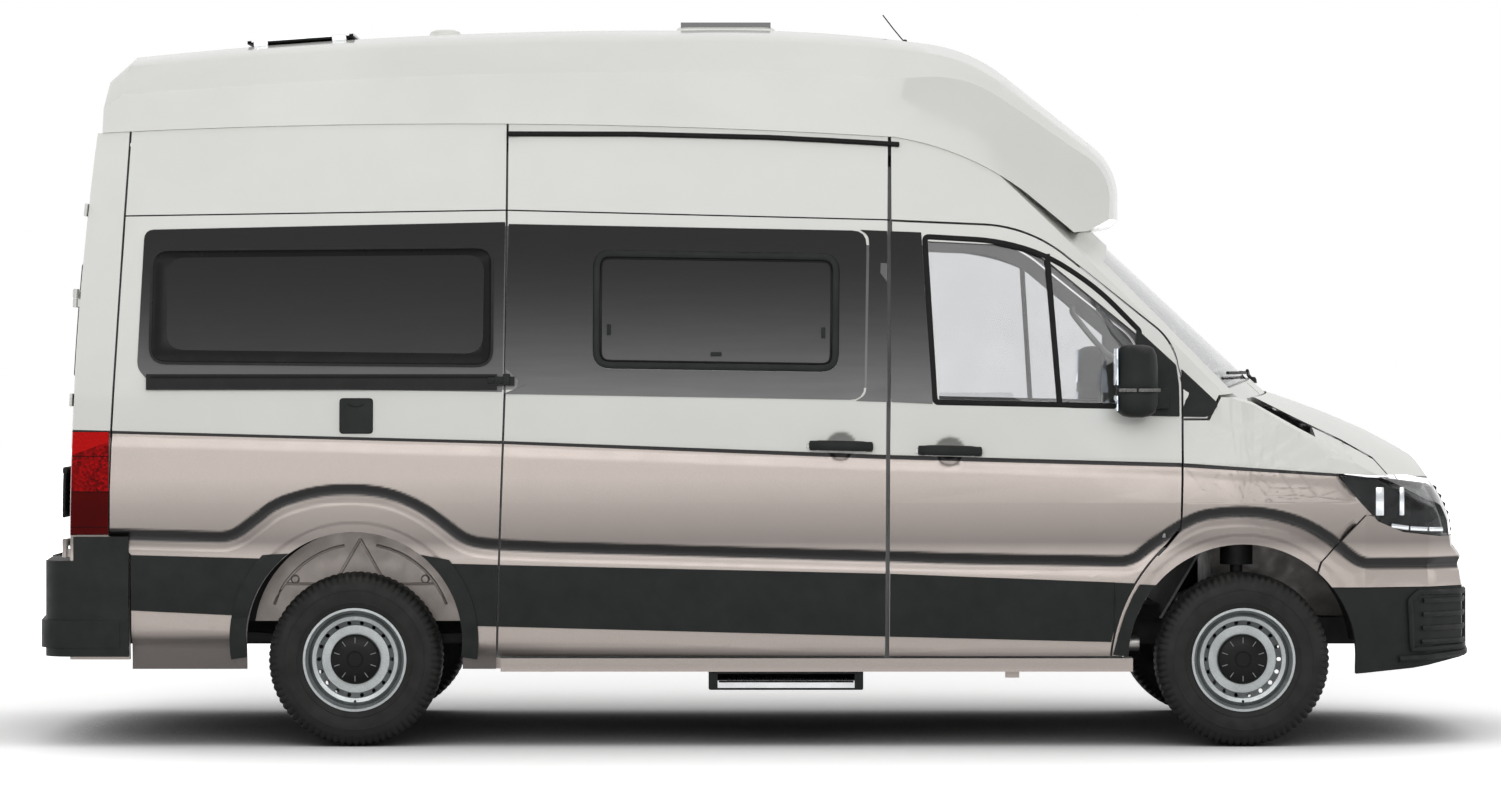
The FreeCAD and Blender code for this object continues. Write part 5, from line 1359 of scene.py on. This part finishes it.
def keepShape(piece):  # the shape that the modifiers give becomes the mesh itself
    graph = bpy.context.evaluated_depsgraph_get()
    mesh = bpy.data.meshes.new_from_object(piece.evaluated_get(graph))
    piece.modifiers.clear()
    piece.data = mesh


def puffed(name, outline, half, middle, axis, seams):
    # a padded form: the outline pulled in towards its two sides, blown up as cloth, then its seams sewn in
    centreX, centreZ = (sum(values) / len(outline) for values in zip(*outline))
    form, rings = bmesh.new(), []
    for step in range(seating["spans"]):
        share = step / (seating["spans"] - 1) * 2 - 1
        bolster = seating["bolster"] * smooth(abs(share), 0.55, 0.85) * (1 - smooth(abs(share), 0.9, 1.0))
        ring = []
        for x, z in roundCorners(outline, seating["corner"], 5):
            way = Vector((x - centreX, z - centreZ))
            way = way * (1 - seating["taper"] * abs(share) ** 5) + way.normalized() * (bolster - seating["tuck"])
            ring.append((centreX + way.x, middle + share * half, centreZ + way.y))
        rings.append(ring)
    loft(form, rings)
    piece = closedPiece(form, name, "coachwork", "seatCloth", "seat_cloth")
    remesh = piece.modifiers.new("remesh", "REMESH")
    remesh.mode = "VOXEL"
    remesh.voxel_size = seating["voxel"]
    keepShape(piece)
    start = [vert.co.copy() for vert in piece.data.vertices]
    cloth = piece.modifiers.new("cloth", "CLOTH")
    cloth.settings.use_pressure = True
    cloth.settings.uniform_pressure_force = seating["pressure"]
    cloth.settings.effector_weights.gravity = 0
    for number in range(1, seating["frames"] + 1):
        bpy.context.scene.frame_set(number)
    keepShape(piece)
    bpy.context.scene.frame_set(1)
    for vert, before in zip(piece.data.vertices, start):
        move = vert.co - before
        if move.length > seating["swell"]:
            vert.co = before + move.normalized() * seating["swell"]
    form = bmesh.new()
    form.from_mesh(piece.data)
    form.normal_update()
    for vert in form.verts:
        aside = abs(vert.co.y - middle) - seating["seamEdge"]
        sewn = [abs(aside)] + [max(abs(vert.co[axis] - place), aside) for place in seams]
        vert.co -= vert.normal * sum(seating["seamDepth"] * math.exp(-((far / seating["seamWidth"]) ** 2))
                                     for far in sewn)
    for face in form.faces:
        face.smooth = True
    form.to_mesh(piece.data)
    form.free()
    piece.data.materials.clear()
    piece.data.materials.append(looks["seatCloth"])


def makeSeats():
    for middle, (side, word) in zip(seating["places"], hands):
        puffed(f"{word}_seat_cushion", seating["cushion"], seating["cushionHalf"], middle, 0, seating["cushionSeams"])
        puffed(f"{word}_seat_back", seating["back"], seating["backHalf"], middle, 2, seating["backSeams"])
        boxes = [((0.645, middle, 0.705), (0.40, 0.38, 0.145), 0.03),
                 ((0.655, middle, 0.785), (0.46, 0.42, 0.03), 0.012),
                 ((0.455, middle, 0.875), (0.07, 0.43, 0.10), 0.025)]
        for hand in (-1, 1):
            boxes += [((0.645, middle + hand * 0.225, 0.80), (0.36, 0.03, 0.07), 0.012),
                      ((0.655, middle + hand * 0.17, 0.600), (0.44, 0.045, 0.075), 0.008)]
        boxPiece(f"{word}_seat_frame", "coachwork", "dashPlastic", boxes, None, ("cab_seats",) if side < 0 else ())


makeSeats()
print("seats made")

# rear doors, bumper and tail

rear = {
    "plate": (-0.39, 1.02, 0.54, 0.135),  # middle across, middle up, width, height
    "handleHeight": 1.235,
    "brakeLamp": (0.085, 2.492, 0.150, 0.026),  # out from the middle, up, width, height
    "hinges": [0.93, 1.42, 2.20],
    "hingeOut": 0.905,
    "beyond": -2.86,  # where the tail is taken to be beside its edge
    "window": [(0.120, 2.045), (0.700, 2.045), (0.700, 1.455), (0.120, 1.455)],
    "wiper": [(0.44, 1.475), (0.32, 1.50), (0.16, 1.49)],
    "wiperSection": [(-0.006, 0.006), (-0.006, 0.020), (0.006, 0.020), (0.006, 0.006)],
    "sensors": [-0.72, -0.28, 0.28, 0.72],
    "sensorHeight": 0.60,
    "sensor": [(0.0, 0.004), (0.009, 0.0035), (0.011, 0.001), (0.0135, 0.001), (0.014, -0.004)],
    "treads": (-2.965, 0.016, 6),  # first along the van, spacing, how many
}


def makeTail():
    y, z, wide, tall = rear["plate"]
    boxPiece("plate_recess", "right_rear_door", "grainedPlastic",
             [tailBox(y, z, -0.001, (0.012, wide + 0.05, tall + 0.05), 0.006),
              tailBox(y, z + tall / 2 + 0.036, 0.000, (0.022, wide + 0.02, 0.030), 0.009)])
    boxPiece("blank_plate", "right_rear_door", "plateWhite", [tailBox(y, z, 0.006, (0.006, wide, tall), 0.002)])
    up = rear["handleHeight"]
    boxPiece("rear_door_handle", "right_rear_door", "grainedPlastic",
             [tailBox(-0.105, up, 0.001, (0.014, 0.17, 0.085), 0.010),
              tailBox(-0.105, up + 0.012, 0.012, (0.016, 0.145, 0.030), 0.007),
              tailBox(-0.170, up + 0.012, 0.010, (0.020, 0.018, 0.030), 0.005),
              tailBox(-0.040, up + 0.012, 0.010, (0.020, 0.018, 0.030), 0.005)])
    y, z, wide, tall = rear["brakeLamp"]
    boxPiece("high_brake_lamp", "coachwork", "tailRed",
             [tailBox(hand * y, z, 0.004, (0.016, wide, tall), 0.006) for hand in (-1, 1)])
    for side, word in hands:
        door = f"{word}_rear_door"
        edge = roundCorners([(side * y, z) for y, z in rear["window"]], 0.07, 6)
        tailStrip(f"{word}_rear_window_seal", edge, halfRound(0.026, 0.005, -0.010), door, "sealRubber")
        boxes = []
        for z in rear["hinges"]:
            y = side * rear["hingeOut"]
            while tailX(y + side * 0.03, z) == rear["beyond"]:  # the tail is narrower higher up
                y -= side * 0.01
            boxes.append(tailBox(y, z, 0.004, (0.012, 0.11, 0.052), 0.004))
            boxes += [tailBox(y + bolt, z, 0.012, (0.008, 0.013, 0.013), 0.003) for bolt in (-0.03, 0.0)]
        boxPiece(f"{word}_rear_hinge_straps", door, "twoTonePaint", boxes)
        tailStrip(f"{word}_rear_wiper", [(side * y, z) for y, z in rear["wiper"]], rear["wiperSection"], door,
                  "grainedPlastic", closed=False)
    form = bmesh.new()
    for y in rear["sensors"]:
        z = rear["sensorHeight"]
        lathe(form, rear["sensor"], (tailX(y, z), y, z), 20, 0, -1)
    closedPiece(form, "parking_sensors", "coachwork", "smoothBlack")
    bumperTree = skinTree("rear_bumper")
    start, spacing, count = rear["treads"]
    places = [start + spacing * row for row in range(count)]
    boxPiece("bumper_tread", "coachwork", "sealRubber",
             [((x, 0, reached(bumperTree, (x, 0, 2), (0, 0, -1), 2, 0.60) + 0.001), (0.006, 1.05, 0.004), 0.001)
              for x in places])


makeTail()
print("tail made")

roof = {
    "panelLift": 0.020,
    "cellRows": (4, 8),
    "cellGap": 0.004,
    "domeRibs": 5,
    "sealSection": [(-0.016, -0.004), (-0.016, 0.012), (-0.006, 0.017), (0.010, 0.010), (0.016, -0.004)],
}


def makeSolar():
    low, high = corners("solar_panel")
    middle, long, wide = (low.x + high.x) / 2, high.x - low.x, high.y - low.y
    shellTree = skinTree("high_roof")
    front, back = (reached(shellTree, (x, 0.34, 4), (0, 0, -1), 3, 2.9) for x in (high.x - 0.01, low.x + 0.01))
    lean = math.atan2(front - back, long - 0.02)
    turn = Matrix.Rotation(-lean, 3, "Y")

    def plate(x, y, rise, size, bevel):  # a block that lies on the panel
        return (x, y, back + (x - low.x) * math.tan(lean) + rise + roof["panelLift"]), size, bevel, turn

    boxPiece("solar_plate", "coachwork", "smoothBlack", [plate(middle, 0, -0.004, (long, wide, 0.010), 0.003)],
             "panel_glass", ("solar_panel",))
    rows, lines = roof["cellRows"]
    stepX, stepY, gap = (long - 0.05) / rows, (wide - 0.05) / lines, roof["cellGap"]
    boxPiece("solar_cells", "coachwork", "solarCell",
             [plate(low.x + 0.025 + stepX * (row + 0.5), low.y + 0.025 + stepY * (line + 0.5), 0.0015,
                    (stepX - gap, stepY - gap, 0.0016), 0.0004) for row in range(rows) for line in range(lines)])
    boxes = [plate(middle, y, 0, (long, 0.02, 0.010), 0.001) for y in (low.y + 0.01, high.y - 0.01)]
    boxes += [plate(x, 0, 0, (0.02, wide, 0.010), 0.001) for x in (low.x + 0.01, high.x - 0.01)]
    boxes += [plate(x, y, -0.012, (0.06, 0.03, 0.026), 0.004) for x in (low.x + 0.06, high.x - 0.06)
              for y in (low.y - 0.012, high.y + 0.012)]
    boxPiece("solar_frame", "coachwork", "bareAluminium", boxes)


def makeSkylight():
    low, high = corners("skylight")
    x, y, z = (low.x + high.x) / 2, (low.y + high.y) / 2, high.z
    long, wide, ribs = high.x - low.x, high.y - low.y, roof["domeRibs"]
    boxes = [((x, y, z - 0.008), (long - 0.05, wide - 0.05, 0.016), 0.007)]
    boxes += [((x, low.y + wide * (line + 1) / (ribs + 1), z), (long - 0.12, 0.012, 0.004), 0.0015)
              for line in range(ribs)]
    boxPiece("skylight_dome", "coachwork", "smokedAcrylic", boxes)
    farX, farY = long / 2 + 0.012, wide / 2 + 0.012
    form, rings = bmesh.new(), []
    for placeX, placeY in roundCorners([(x - farX, y - farY), (x + farX, y - farY), (x + farX, y + farY),
                                        (x - farX, y + farY)], 0.05, 5):
        way = Vector((placeX - x, placeY - y, 0)).normalized()
        base = Vector((placeX, placeY, roofZ(placeX + way.x * 0.02, placeY + way.y * 0.02)))
        rings.append([base + way * out + Vector((0, 0, up)) for out, up in roof["sealSection"]])
    loft(form, rings, closed=True)
    closedPiece(form, "skylight_seal", "coachwork", "roofGelcoat")


makeSolar()
makeSkylight()
print("roof made")

# step, rail, arches, cabin and wipers

fitting = {
    "stepCover": (-0.197, 0.437, 0.300, 0.342),  # along from, to, height from, to
    "treadDots": (33, 4),
    "rail": (-2.478, -1.070, 1.470, 1.520),
    "railRoller": (-1.052, 1.500),
    "archMiddle": (-1.646, 0.439),
    "archRadius": 0.440,
    "ribRadius": 0.38,
    "ribSize": 0.006,
    "archRibs": [((-0.11, 0.21), (0.0, 0.40)), ((0.11, 0.21), (0.0, 0.40)), ((-0.31, 0.215), (0.31, 0.215))],
    "archPlug": [(0.0, 0.020), (0.012, 0.019), (0.018, 0.012), (0.019, 0.0)],
    "reflector": (-2.859, -2.666, 0.581, 0.635),
    "aerialFoot": (0.640, 0.0),
    "aerialTip": (0.545, 0.0, 3.070),
    "aerialBase": [(0.0, 0.024), (0.008, 0.022), (0.014, 0.010), (0.020, -0.004)],
    "vent": (-1.34, 0.0),
    "ventDome": [(0.0, 0.030), (0.045, 0.029), (0.062, 0.022), (0.068, 0.010), (0.070, -0.03)],
    "grabHandle": [(1.62, 0.80, 1.60), (1.60, 0.765, 1.585), (1.52, 0.755, 1.66), (1.44, 0.750, 1.76),
                   (1.41, 0.765, 1.80), (1.42, 0.80, 1.815)],
    "knob": [(0.0, 0.035), (0.012, 0.033), (0.022, 0.018), (0.020, 0.0), (0.010, -0.008)],
    "dash": [(1.452, 1.060, 0.03), (1.428, 1.170, 0.03), (1.440, 1.205, 0.03), (1.520, 1.245, 0.03),
             (1.700, 1.292, 0.004), (1.885, 1.328, 0.004), (1.895, 0.905, 0.004), (1.562, 0.905, 0.004),
             (1.505, 1.040, 0.004)],
    "dashHalf": 0.84,
    "helm": (1.290, 0.420, 1.230),
    "helmLean": -62,  # degrees
    "helmRadius": 0.190,
    "wipers": ((-0.70, -0.02), (0.05, 0.74)),  # across, from and to
    "wiperHeight": 1.52,
    "wiperFoot": 2.13,
    "wiperCap": [(0.0, 0.022), (0.012, 0.020), (0.017, 0.010), (0.019, -0.006)],
}


def leaning(angle):
    return Matrix.Rotation(angle, 3, "Y")


def makeStep():
    back, front, low, high = fitting["stepCover"]
    boxes = [(((back + front) / 2, -0.952, (low + high) / 2), (front - back, 0.030, high - low), 0.008)]
    boxes += [((x, -0.952, 0.285), (0.024, 0.034, 0.105), 0.006) for x in (back + 0.012, front - 0.012)]
    boxPiece("step_cover", "coachwork", "grainedPlastic", boxes)
    low, high = corners("entry_step")
    count, rows = fitting["treadDots"]
    long = high.x - low.x
    boxes = [((low.x + 0.02 + (long - 0.04) * number / (count - 1), low.y + 0.02 + row * 0.03, high.z + 0.001),
              (0.009, 0.014, 0.004), 0.001) for number in range(count) for row in range(rows)]
    boxes.append((((low.x + high.x) / 2, low.y - 0.001, high.z - 0.004), (long - 0.01, 0.006, 0.007), 0.001))
    boxPiece("step_grips", "entry_step", "sealRubber", boxes)


def makeRail():
    back, front, low, high = fitting["rail"]
    middle, wide = (low + high) / 2, (high - low) / 2
    section = [(-wide, -0.004), (-wide, 0.013), (-wide + 0.006, 0.016), (-wide + 0.013, 0.013), (-wide + 0.015, 0.003),
               (wide - 0.015, 0.003), (wide - 0.012, 0.014), (wide - 0.005, 0.017), (wide, 0.013), (wide, -0.004)]
    flankStrip("rail_channel", [(back, middle), (front, middle)], section, -1, "coachwork", "smoothBlack", False, 0.1)
    x, z = fitting["railRoller"]
    y = flankY(x, z, -1)
    boxPiece("rail_roller_bracket", "coachwork", "grainedPlastic",
             [((x - 0.005, y - 0.012, z), (0.085, 0.020, 0.026), 0.006),
              ((x + 0.030, y - 0.014, z + 0.004), (0.030, 0.026, 0.048), 0.008),
              ((x - 0.025, y - 0.024, z), (0.011, 0.008, 0.011), 0.003),
              ((x + 0.005, y - 0.024, z), (0.011, 0.008, 0.011), 0.003)])
    back, front, low, high = fitting["reflector"]
    loop = roundCorners([(back, low + 0.006), (front, low), (front, high - 0.004), (back, high)], 0.006, 3)
    for side, word in hands:
        flankSheet(f"{word}_reflector", loop, side, "coachwork", "tailRed", 0.004, 0.008)


def makeArchWalls():
    x, z = fitting["archMiddle"]
    housing, thick = skinTree("wheel_housings"), fitting["ribSize"]
    for side, word in hands:
        y = reached(housing, (x, side * 2, z + 0.36), (0, -side, 0), 1.9, side * 0.70) + side * 0.003
        form = bmesh.new()
        form.faces.new([form.verts.new((px, y, pz)) for px, pz in arcPoints(x, z, fitting["archRadius"], 8, 172, 30)])
        made = bmesh.ops.extrude_face_region(form, geom=list(form.faces))
        for vert in [part for part in made["geom"] if isinstance(part, bmesh.types.BMVert)]:
            vert.co.y += side * 0.004
        # two curved ribs and a raised triangle, as pressed into the wall
        lines = [arcPoints(x, z, fitting["ribRadius"], start, end, 12) for start, end in ((100, 160), (20, 80))]
        lines += [[(x + dx, z + dz) for dx, dz in rib] for rib in fitting["archRibs"]]
        for line in lines:
            tubeMesh(form, [(px, y + side * thick, pz) for px, pz in line], thick)
        for dx in (-0.27, 0.27):
            lathe(form, fitting["archPlug"], (x + dx, y, z + 0.235), 18, 1, side)
        closedPiece(form, f"{word}_arch_wall", "coachwork", "archPaint")


def makeRoofSmalls():
    form = bmesh.new()
    x, y = fitting["vent"]
    lathe(form, fitting["ventDome"], (x, y, roofZ(x + 0.12, y)), 36, 2)
    closedPiece(form, "roof_vent", "coachwork", "roofGelcoat", None, ("roof_fittings",))
    form = bmesh.new()
    x, y = fitting["aerialFoot"]
    foot = Vector((x, y, roofZ(x, y + 0.03)))
    lathe(form, fitting["aerialBase"], foot, 20, 2)
    tubeMesh(form, [foot + Vector((0, 0, 0.01)), foot + Vector((-0.05, 0, 0.07)), fitting["aerialTip"]], 0.0028)
    closedPiece(form, "aerial", "coachwork", "sealRubber")


def makeCabin():
    form = bmesh.new()
    for side in (-1, 1):
        tubeMesh(form, softCurve([(x, side * y, z) for x, y, z in fitting["grabHandle"]], 5), 0.013, 10)
    closedPiece(form, "grab_handles", "coachwork", "cabinTrim")
    boxPiece("sun_visors", "coachwork", "cabinTrim",
             [((1.335, y, 2.045), (0.15, 0.36, 0.016), 0.007, leaning(0.55)) for y in (-0.42, 0.42)])
    boxes = [((1.455, 0.42, 1.285), (0.13, 0.36, 0.05), 0.02, leaning(0.2)),
             ((1.425, 0.0, 1.255), (0.03, 0.24, 0.15), 0.008, leaning(-0.25))]
    for y in (-0.72, -0.19, 0.19, 0.72):  # air vents
        boxes.append(((1.452, y, 1.215), (0.03, 0.10, 0.065), 0.010, leaning(-0.15)))
        boxes += [((1.436, y, 1.193 + slat * 0.015), (0.008, 0.086, 0.004), 0.001) for slat in range(4)]
    boxes += [((1.47, -0.46, 1.09), (0.04, 0.40, 0.14), 0.015), ((1.40, 0.0, 1.02), (0.14, 0.20, 0.12), 0.02)]
    boxPiece("dashboard_fittings", "coachwork", "dashPlastic", boxes)
    boxPiece("centre_screen", "coachwork", "smokedAcrylic",
             [((1.408, 0.0, 1.262), (0.006, 0.205, 0.118), 0.002, leaning(-0.25))], "panel_glass")
    form = bmesh.new()
    tubeMesh(form, [(1.33, 0.0, 1.06), (1.30, 0.0, 1.13)], 0.008)
    lathe(form, fitting["knob"], (1.30, 0, 1.13), 24, 2)
    closedPiece(form, "gear_lever", "coachwork", "dashPlastic")


def makeDash():
    # the dashboard's own section with a soft, bowed top
    form, rings, half = bmesh.new(), [], fitting["dashHalf"]
    for step in range(17):
        y = half * (step / 8 - 1)
        sink = 0.035 * abs(y / half) ** 4
        rings.append([(x + (sink if x < 1.6 else 0), y, z - (sink * 0.6 if z > 1.1 else 0))
                      for x, z in roundCorners(fitting["dash"], 0.02, 4)])
    loft(form, rings)
    closedPiece(form, "dashboard_shell", "coachwork", "dashPlastic", None, ("dashboard",))


def makeHelm():
    # rim, spokes, padded boss and column, leaning back at the driver
    form, turn = bmesh.new(), leaning(math.radians(fitting["helmLean"]))

    def seat(x, y, z):  # a place on the wheel
        return Vector(fitting["helm"]) + turn @ Vector((x, y, z))

    reach = fitting["helmRadius"]
    tubeMesh(form, [seat(reach * math.cos(2 * math.pi * step / 48), reach * math.sin(2 * math.pi * step / 48), 0)
                    for step in range(49)], 0.0145, 12)
    for x, y, size in ((0, 0.115, (0.045, 0.14, 0.018)), (0, -0.115, (0.045, 0.14, 0.018)),
                       (-0.115, 0, (0.14, 0.035, 0.018))):
        softBox(form, seat(x, y, -0.012), size, 0.006, turn)
    softBox(form, seat(0, 0, -0.004), (0.125, 0.15, 0.045), 0.022, turn)
    tubeMesh(form, [seat(0, 0, -0.02), seat(0, 0, -0.21)], 0.040, 16)
    for hand in (-1, 1):
        tubeMesh(form, [seat(0, hand * 0.03, -0.08), seat(0.02, hand * 0.155, -0.07)], 0.008)
    closedPiece(form, "steering_wheel_rim", "coachwork", "dashPlastic", None, ("steering_wheel",))


def makeDoorSeals():
    # rubber that closes the lower front corner of each door hole, inside the swing of the door
    boxPiece("door_hole_seals", "coachwork", "sealRubber",
             [((1.695, side * 0.893, 0.845), (0.13, 0.008, 0.050), 0.003, leaning(-math.radians(46)))
              for side in (-1, 1)])


def makeWipers():
    # screen wipers parked along the foot of the screen
    screen, form = skinTree("windscreen", "cab_frame", "bonnet"), bmesh.new()
    x, z = fitting["wiperFoot"], fitting["wiperHeight"]
    for start, end in fitting["wipers"]:
        across = [start + (end - start) * step / 12 for step in range(13)]
        points = [Vector((reached(screen, (3.0, y, z), (-1, 0, 0), 2, 2.05) + 0.014, y, z + 0.010)) for y in across]
        tubeMesh(form, points, 0.007, 6)
        y = end - 0.06
        foot = Vector((x, y, reached(screen, (x, y, 2.5), (0, 0, -1), 2, 1.46)))
        tubeMesh(form, [foot + Vector((0, 0, 0.006)), foot + Vector((-0.02, -0.02, 0.028)),
                        points[7] + Vector((0.008, 0, 0.008))], 0.008, 6)
        lathe(form, fitting["wiperCap"], foot, 18, 2)
    closedPiece(form, "screen_wipers", "coachwork", "grainedPlastic")


for make in (makeStep, makeRail, makeArchWalls, makeRoofSmalls, makeCabin, makeDash, makeHelm, makeDoorSeals,
             makeWipers):
    make()
print("step, rail, arches, cabin and wipers made")

# floor, light and camera

studio = {
    "floorColour": (1.7, 1.7, 1.7),
    "bounceColour": (0.34, 0.34, 0.34),
    "floorReach": 60,
    "worldStrength": 0.5,
    "shadowFade": (5.0, 8.0),
    "paintedShadowReach": 1.8,
    "paintedShadowTone": 0.12,
    "lamps": [  # place, aimed at, width, depth, watts
        ((0.5, -2.0, 9.5), (0, 0, 0.6), 12, 6, 110),
        ((-1.0, -13.0, 5.5), (0, 0, 1.6), 14, 5, 500),
        ((9.5, -3.0, 3.5), (1, 0, 1.2), 4, 4, 60),
        ((-9.0, 3.0, 4.0), (-1, 0, 1.2), 4, 4, 60),
    ],
    "cameraPlace": (-0.025, -19.480, 1.592),
    "lens": 108.4,
    "shiftY": -0.023,
}


def seenRays(look):  # what the camera sees itself, in a mirror or through glass
    rays = put(look, "LightPath").outputs
    seen = maths(look, "MAXIMUM", rays["Is Camera Ray"], rays["Is Glossy Ray"])
    return maths(look, "MAXIMUM", seen, rays["Is Transmission Ray"])


def makeFloor():
    mesh = bpy.data.meshes.new("floor")
    reach = studio["floorReach"]
    mesh.from_pydata([(-reach, -reach, 0), (reach, -reach, 0), (reach, reach, 0), (-reach, reach, 0)], [],
                     [(0, 1, 2, 3)])
    floor = bpy.data.objects.new("floor", mesh)
    bpy.context.scene.collection.objects.link(floor)
    look, shader = newLook("paleFloor", **{"Specular IOR Level": 0.0, "Emission Color": (1, 1, 1, 1)})
    seen = seenRays(look)
    # painted shadow: the floor is darkened where the van is close above it, besides the lamps' own shadows
    near = put(look, "AmbientOcclusion", {"Distance": studio["paintedShadowReach"]}, samples=8).outputs["AO"]
    paintedContactShadow = between(look, near, 0.10, 0.85, studio["paintedShadowTone"], 1.0)
    shown = blendColour(look, paintedContactShadow, (0, 0, 0), studio["floorColour"])
    spread = put(look, "VectorMath", {0: atRest(look)}, operation="LENGTH").outputs["Value"]
    far = between(look, spread, *studio["shadowFade"])
    join(look, times(look, far, seen), shader.inputs["Emission Strength"])
    mesh.materials.append(finished(look, shader, blendColour(look, seen, studio["bounceColour"], shown), 1.0))


def makeStudioLamps():
    for number, (place, aim, width, depth, watts) in enumerate(studio["lamps"]):
        data = bpy.data.lights.new(f"softbox{number}", "AREA")
        data.shape = "RECTANGLE"
        data.size, data.size_y, data.energy = width, depth, watts
        lamp = bpy.data.objects.new(f"softbox{number}", data)
        lamp.location = place
        lamp.rotation_euler = (Vector(aim) - Vector(place)).to_track_quat("-Z", "Y").to_euler()
        bpy.context.scene.collection.objects.link(lamp)
    world = bpy.data.worlds.new("studio")
    bpy.context.scene.world = world
    world.use_nodes = True
    back = world.node_tree.nodes["Background"]
    join(world, between(world, seenRays(world), 0.0, 1.0, studio["worldStrength"], 1.0), back.inputs["Strength"])
    back.inputs["Color"].default_value = (1, 1, 1, 1)


def makeCamera():
    data = bpy.data.cameras.new("sideView")
    data.lens = studio["lens"]
    data.shift_y = studio["shiftY"]
    data.clip_end = 200
    camera = bpy.data.objects.new("sideView", data)
    camera.location = studio["cameraPlace"]
    camera.rotation_euler = (math.pi / 2, 0, 0)
    bpy.context.scene.collection.objects.link(camera)
    bpy.context.scene.camera = camera


makeFloor()
makeStudioLamps()
makeCamera()
bpy.context.scene.view_settings.view_transform = "Standard"
print("studio set")
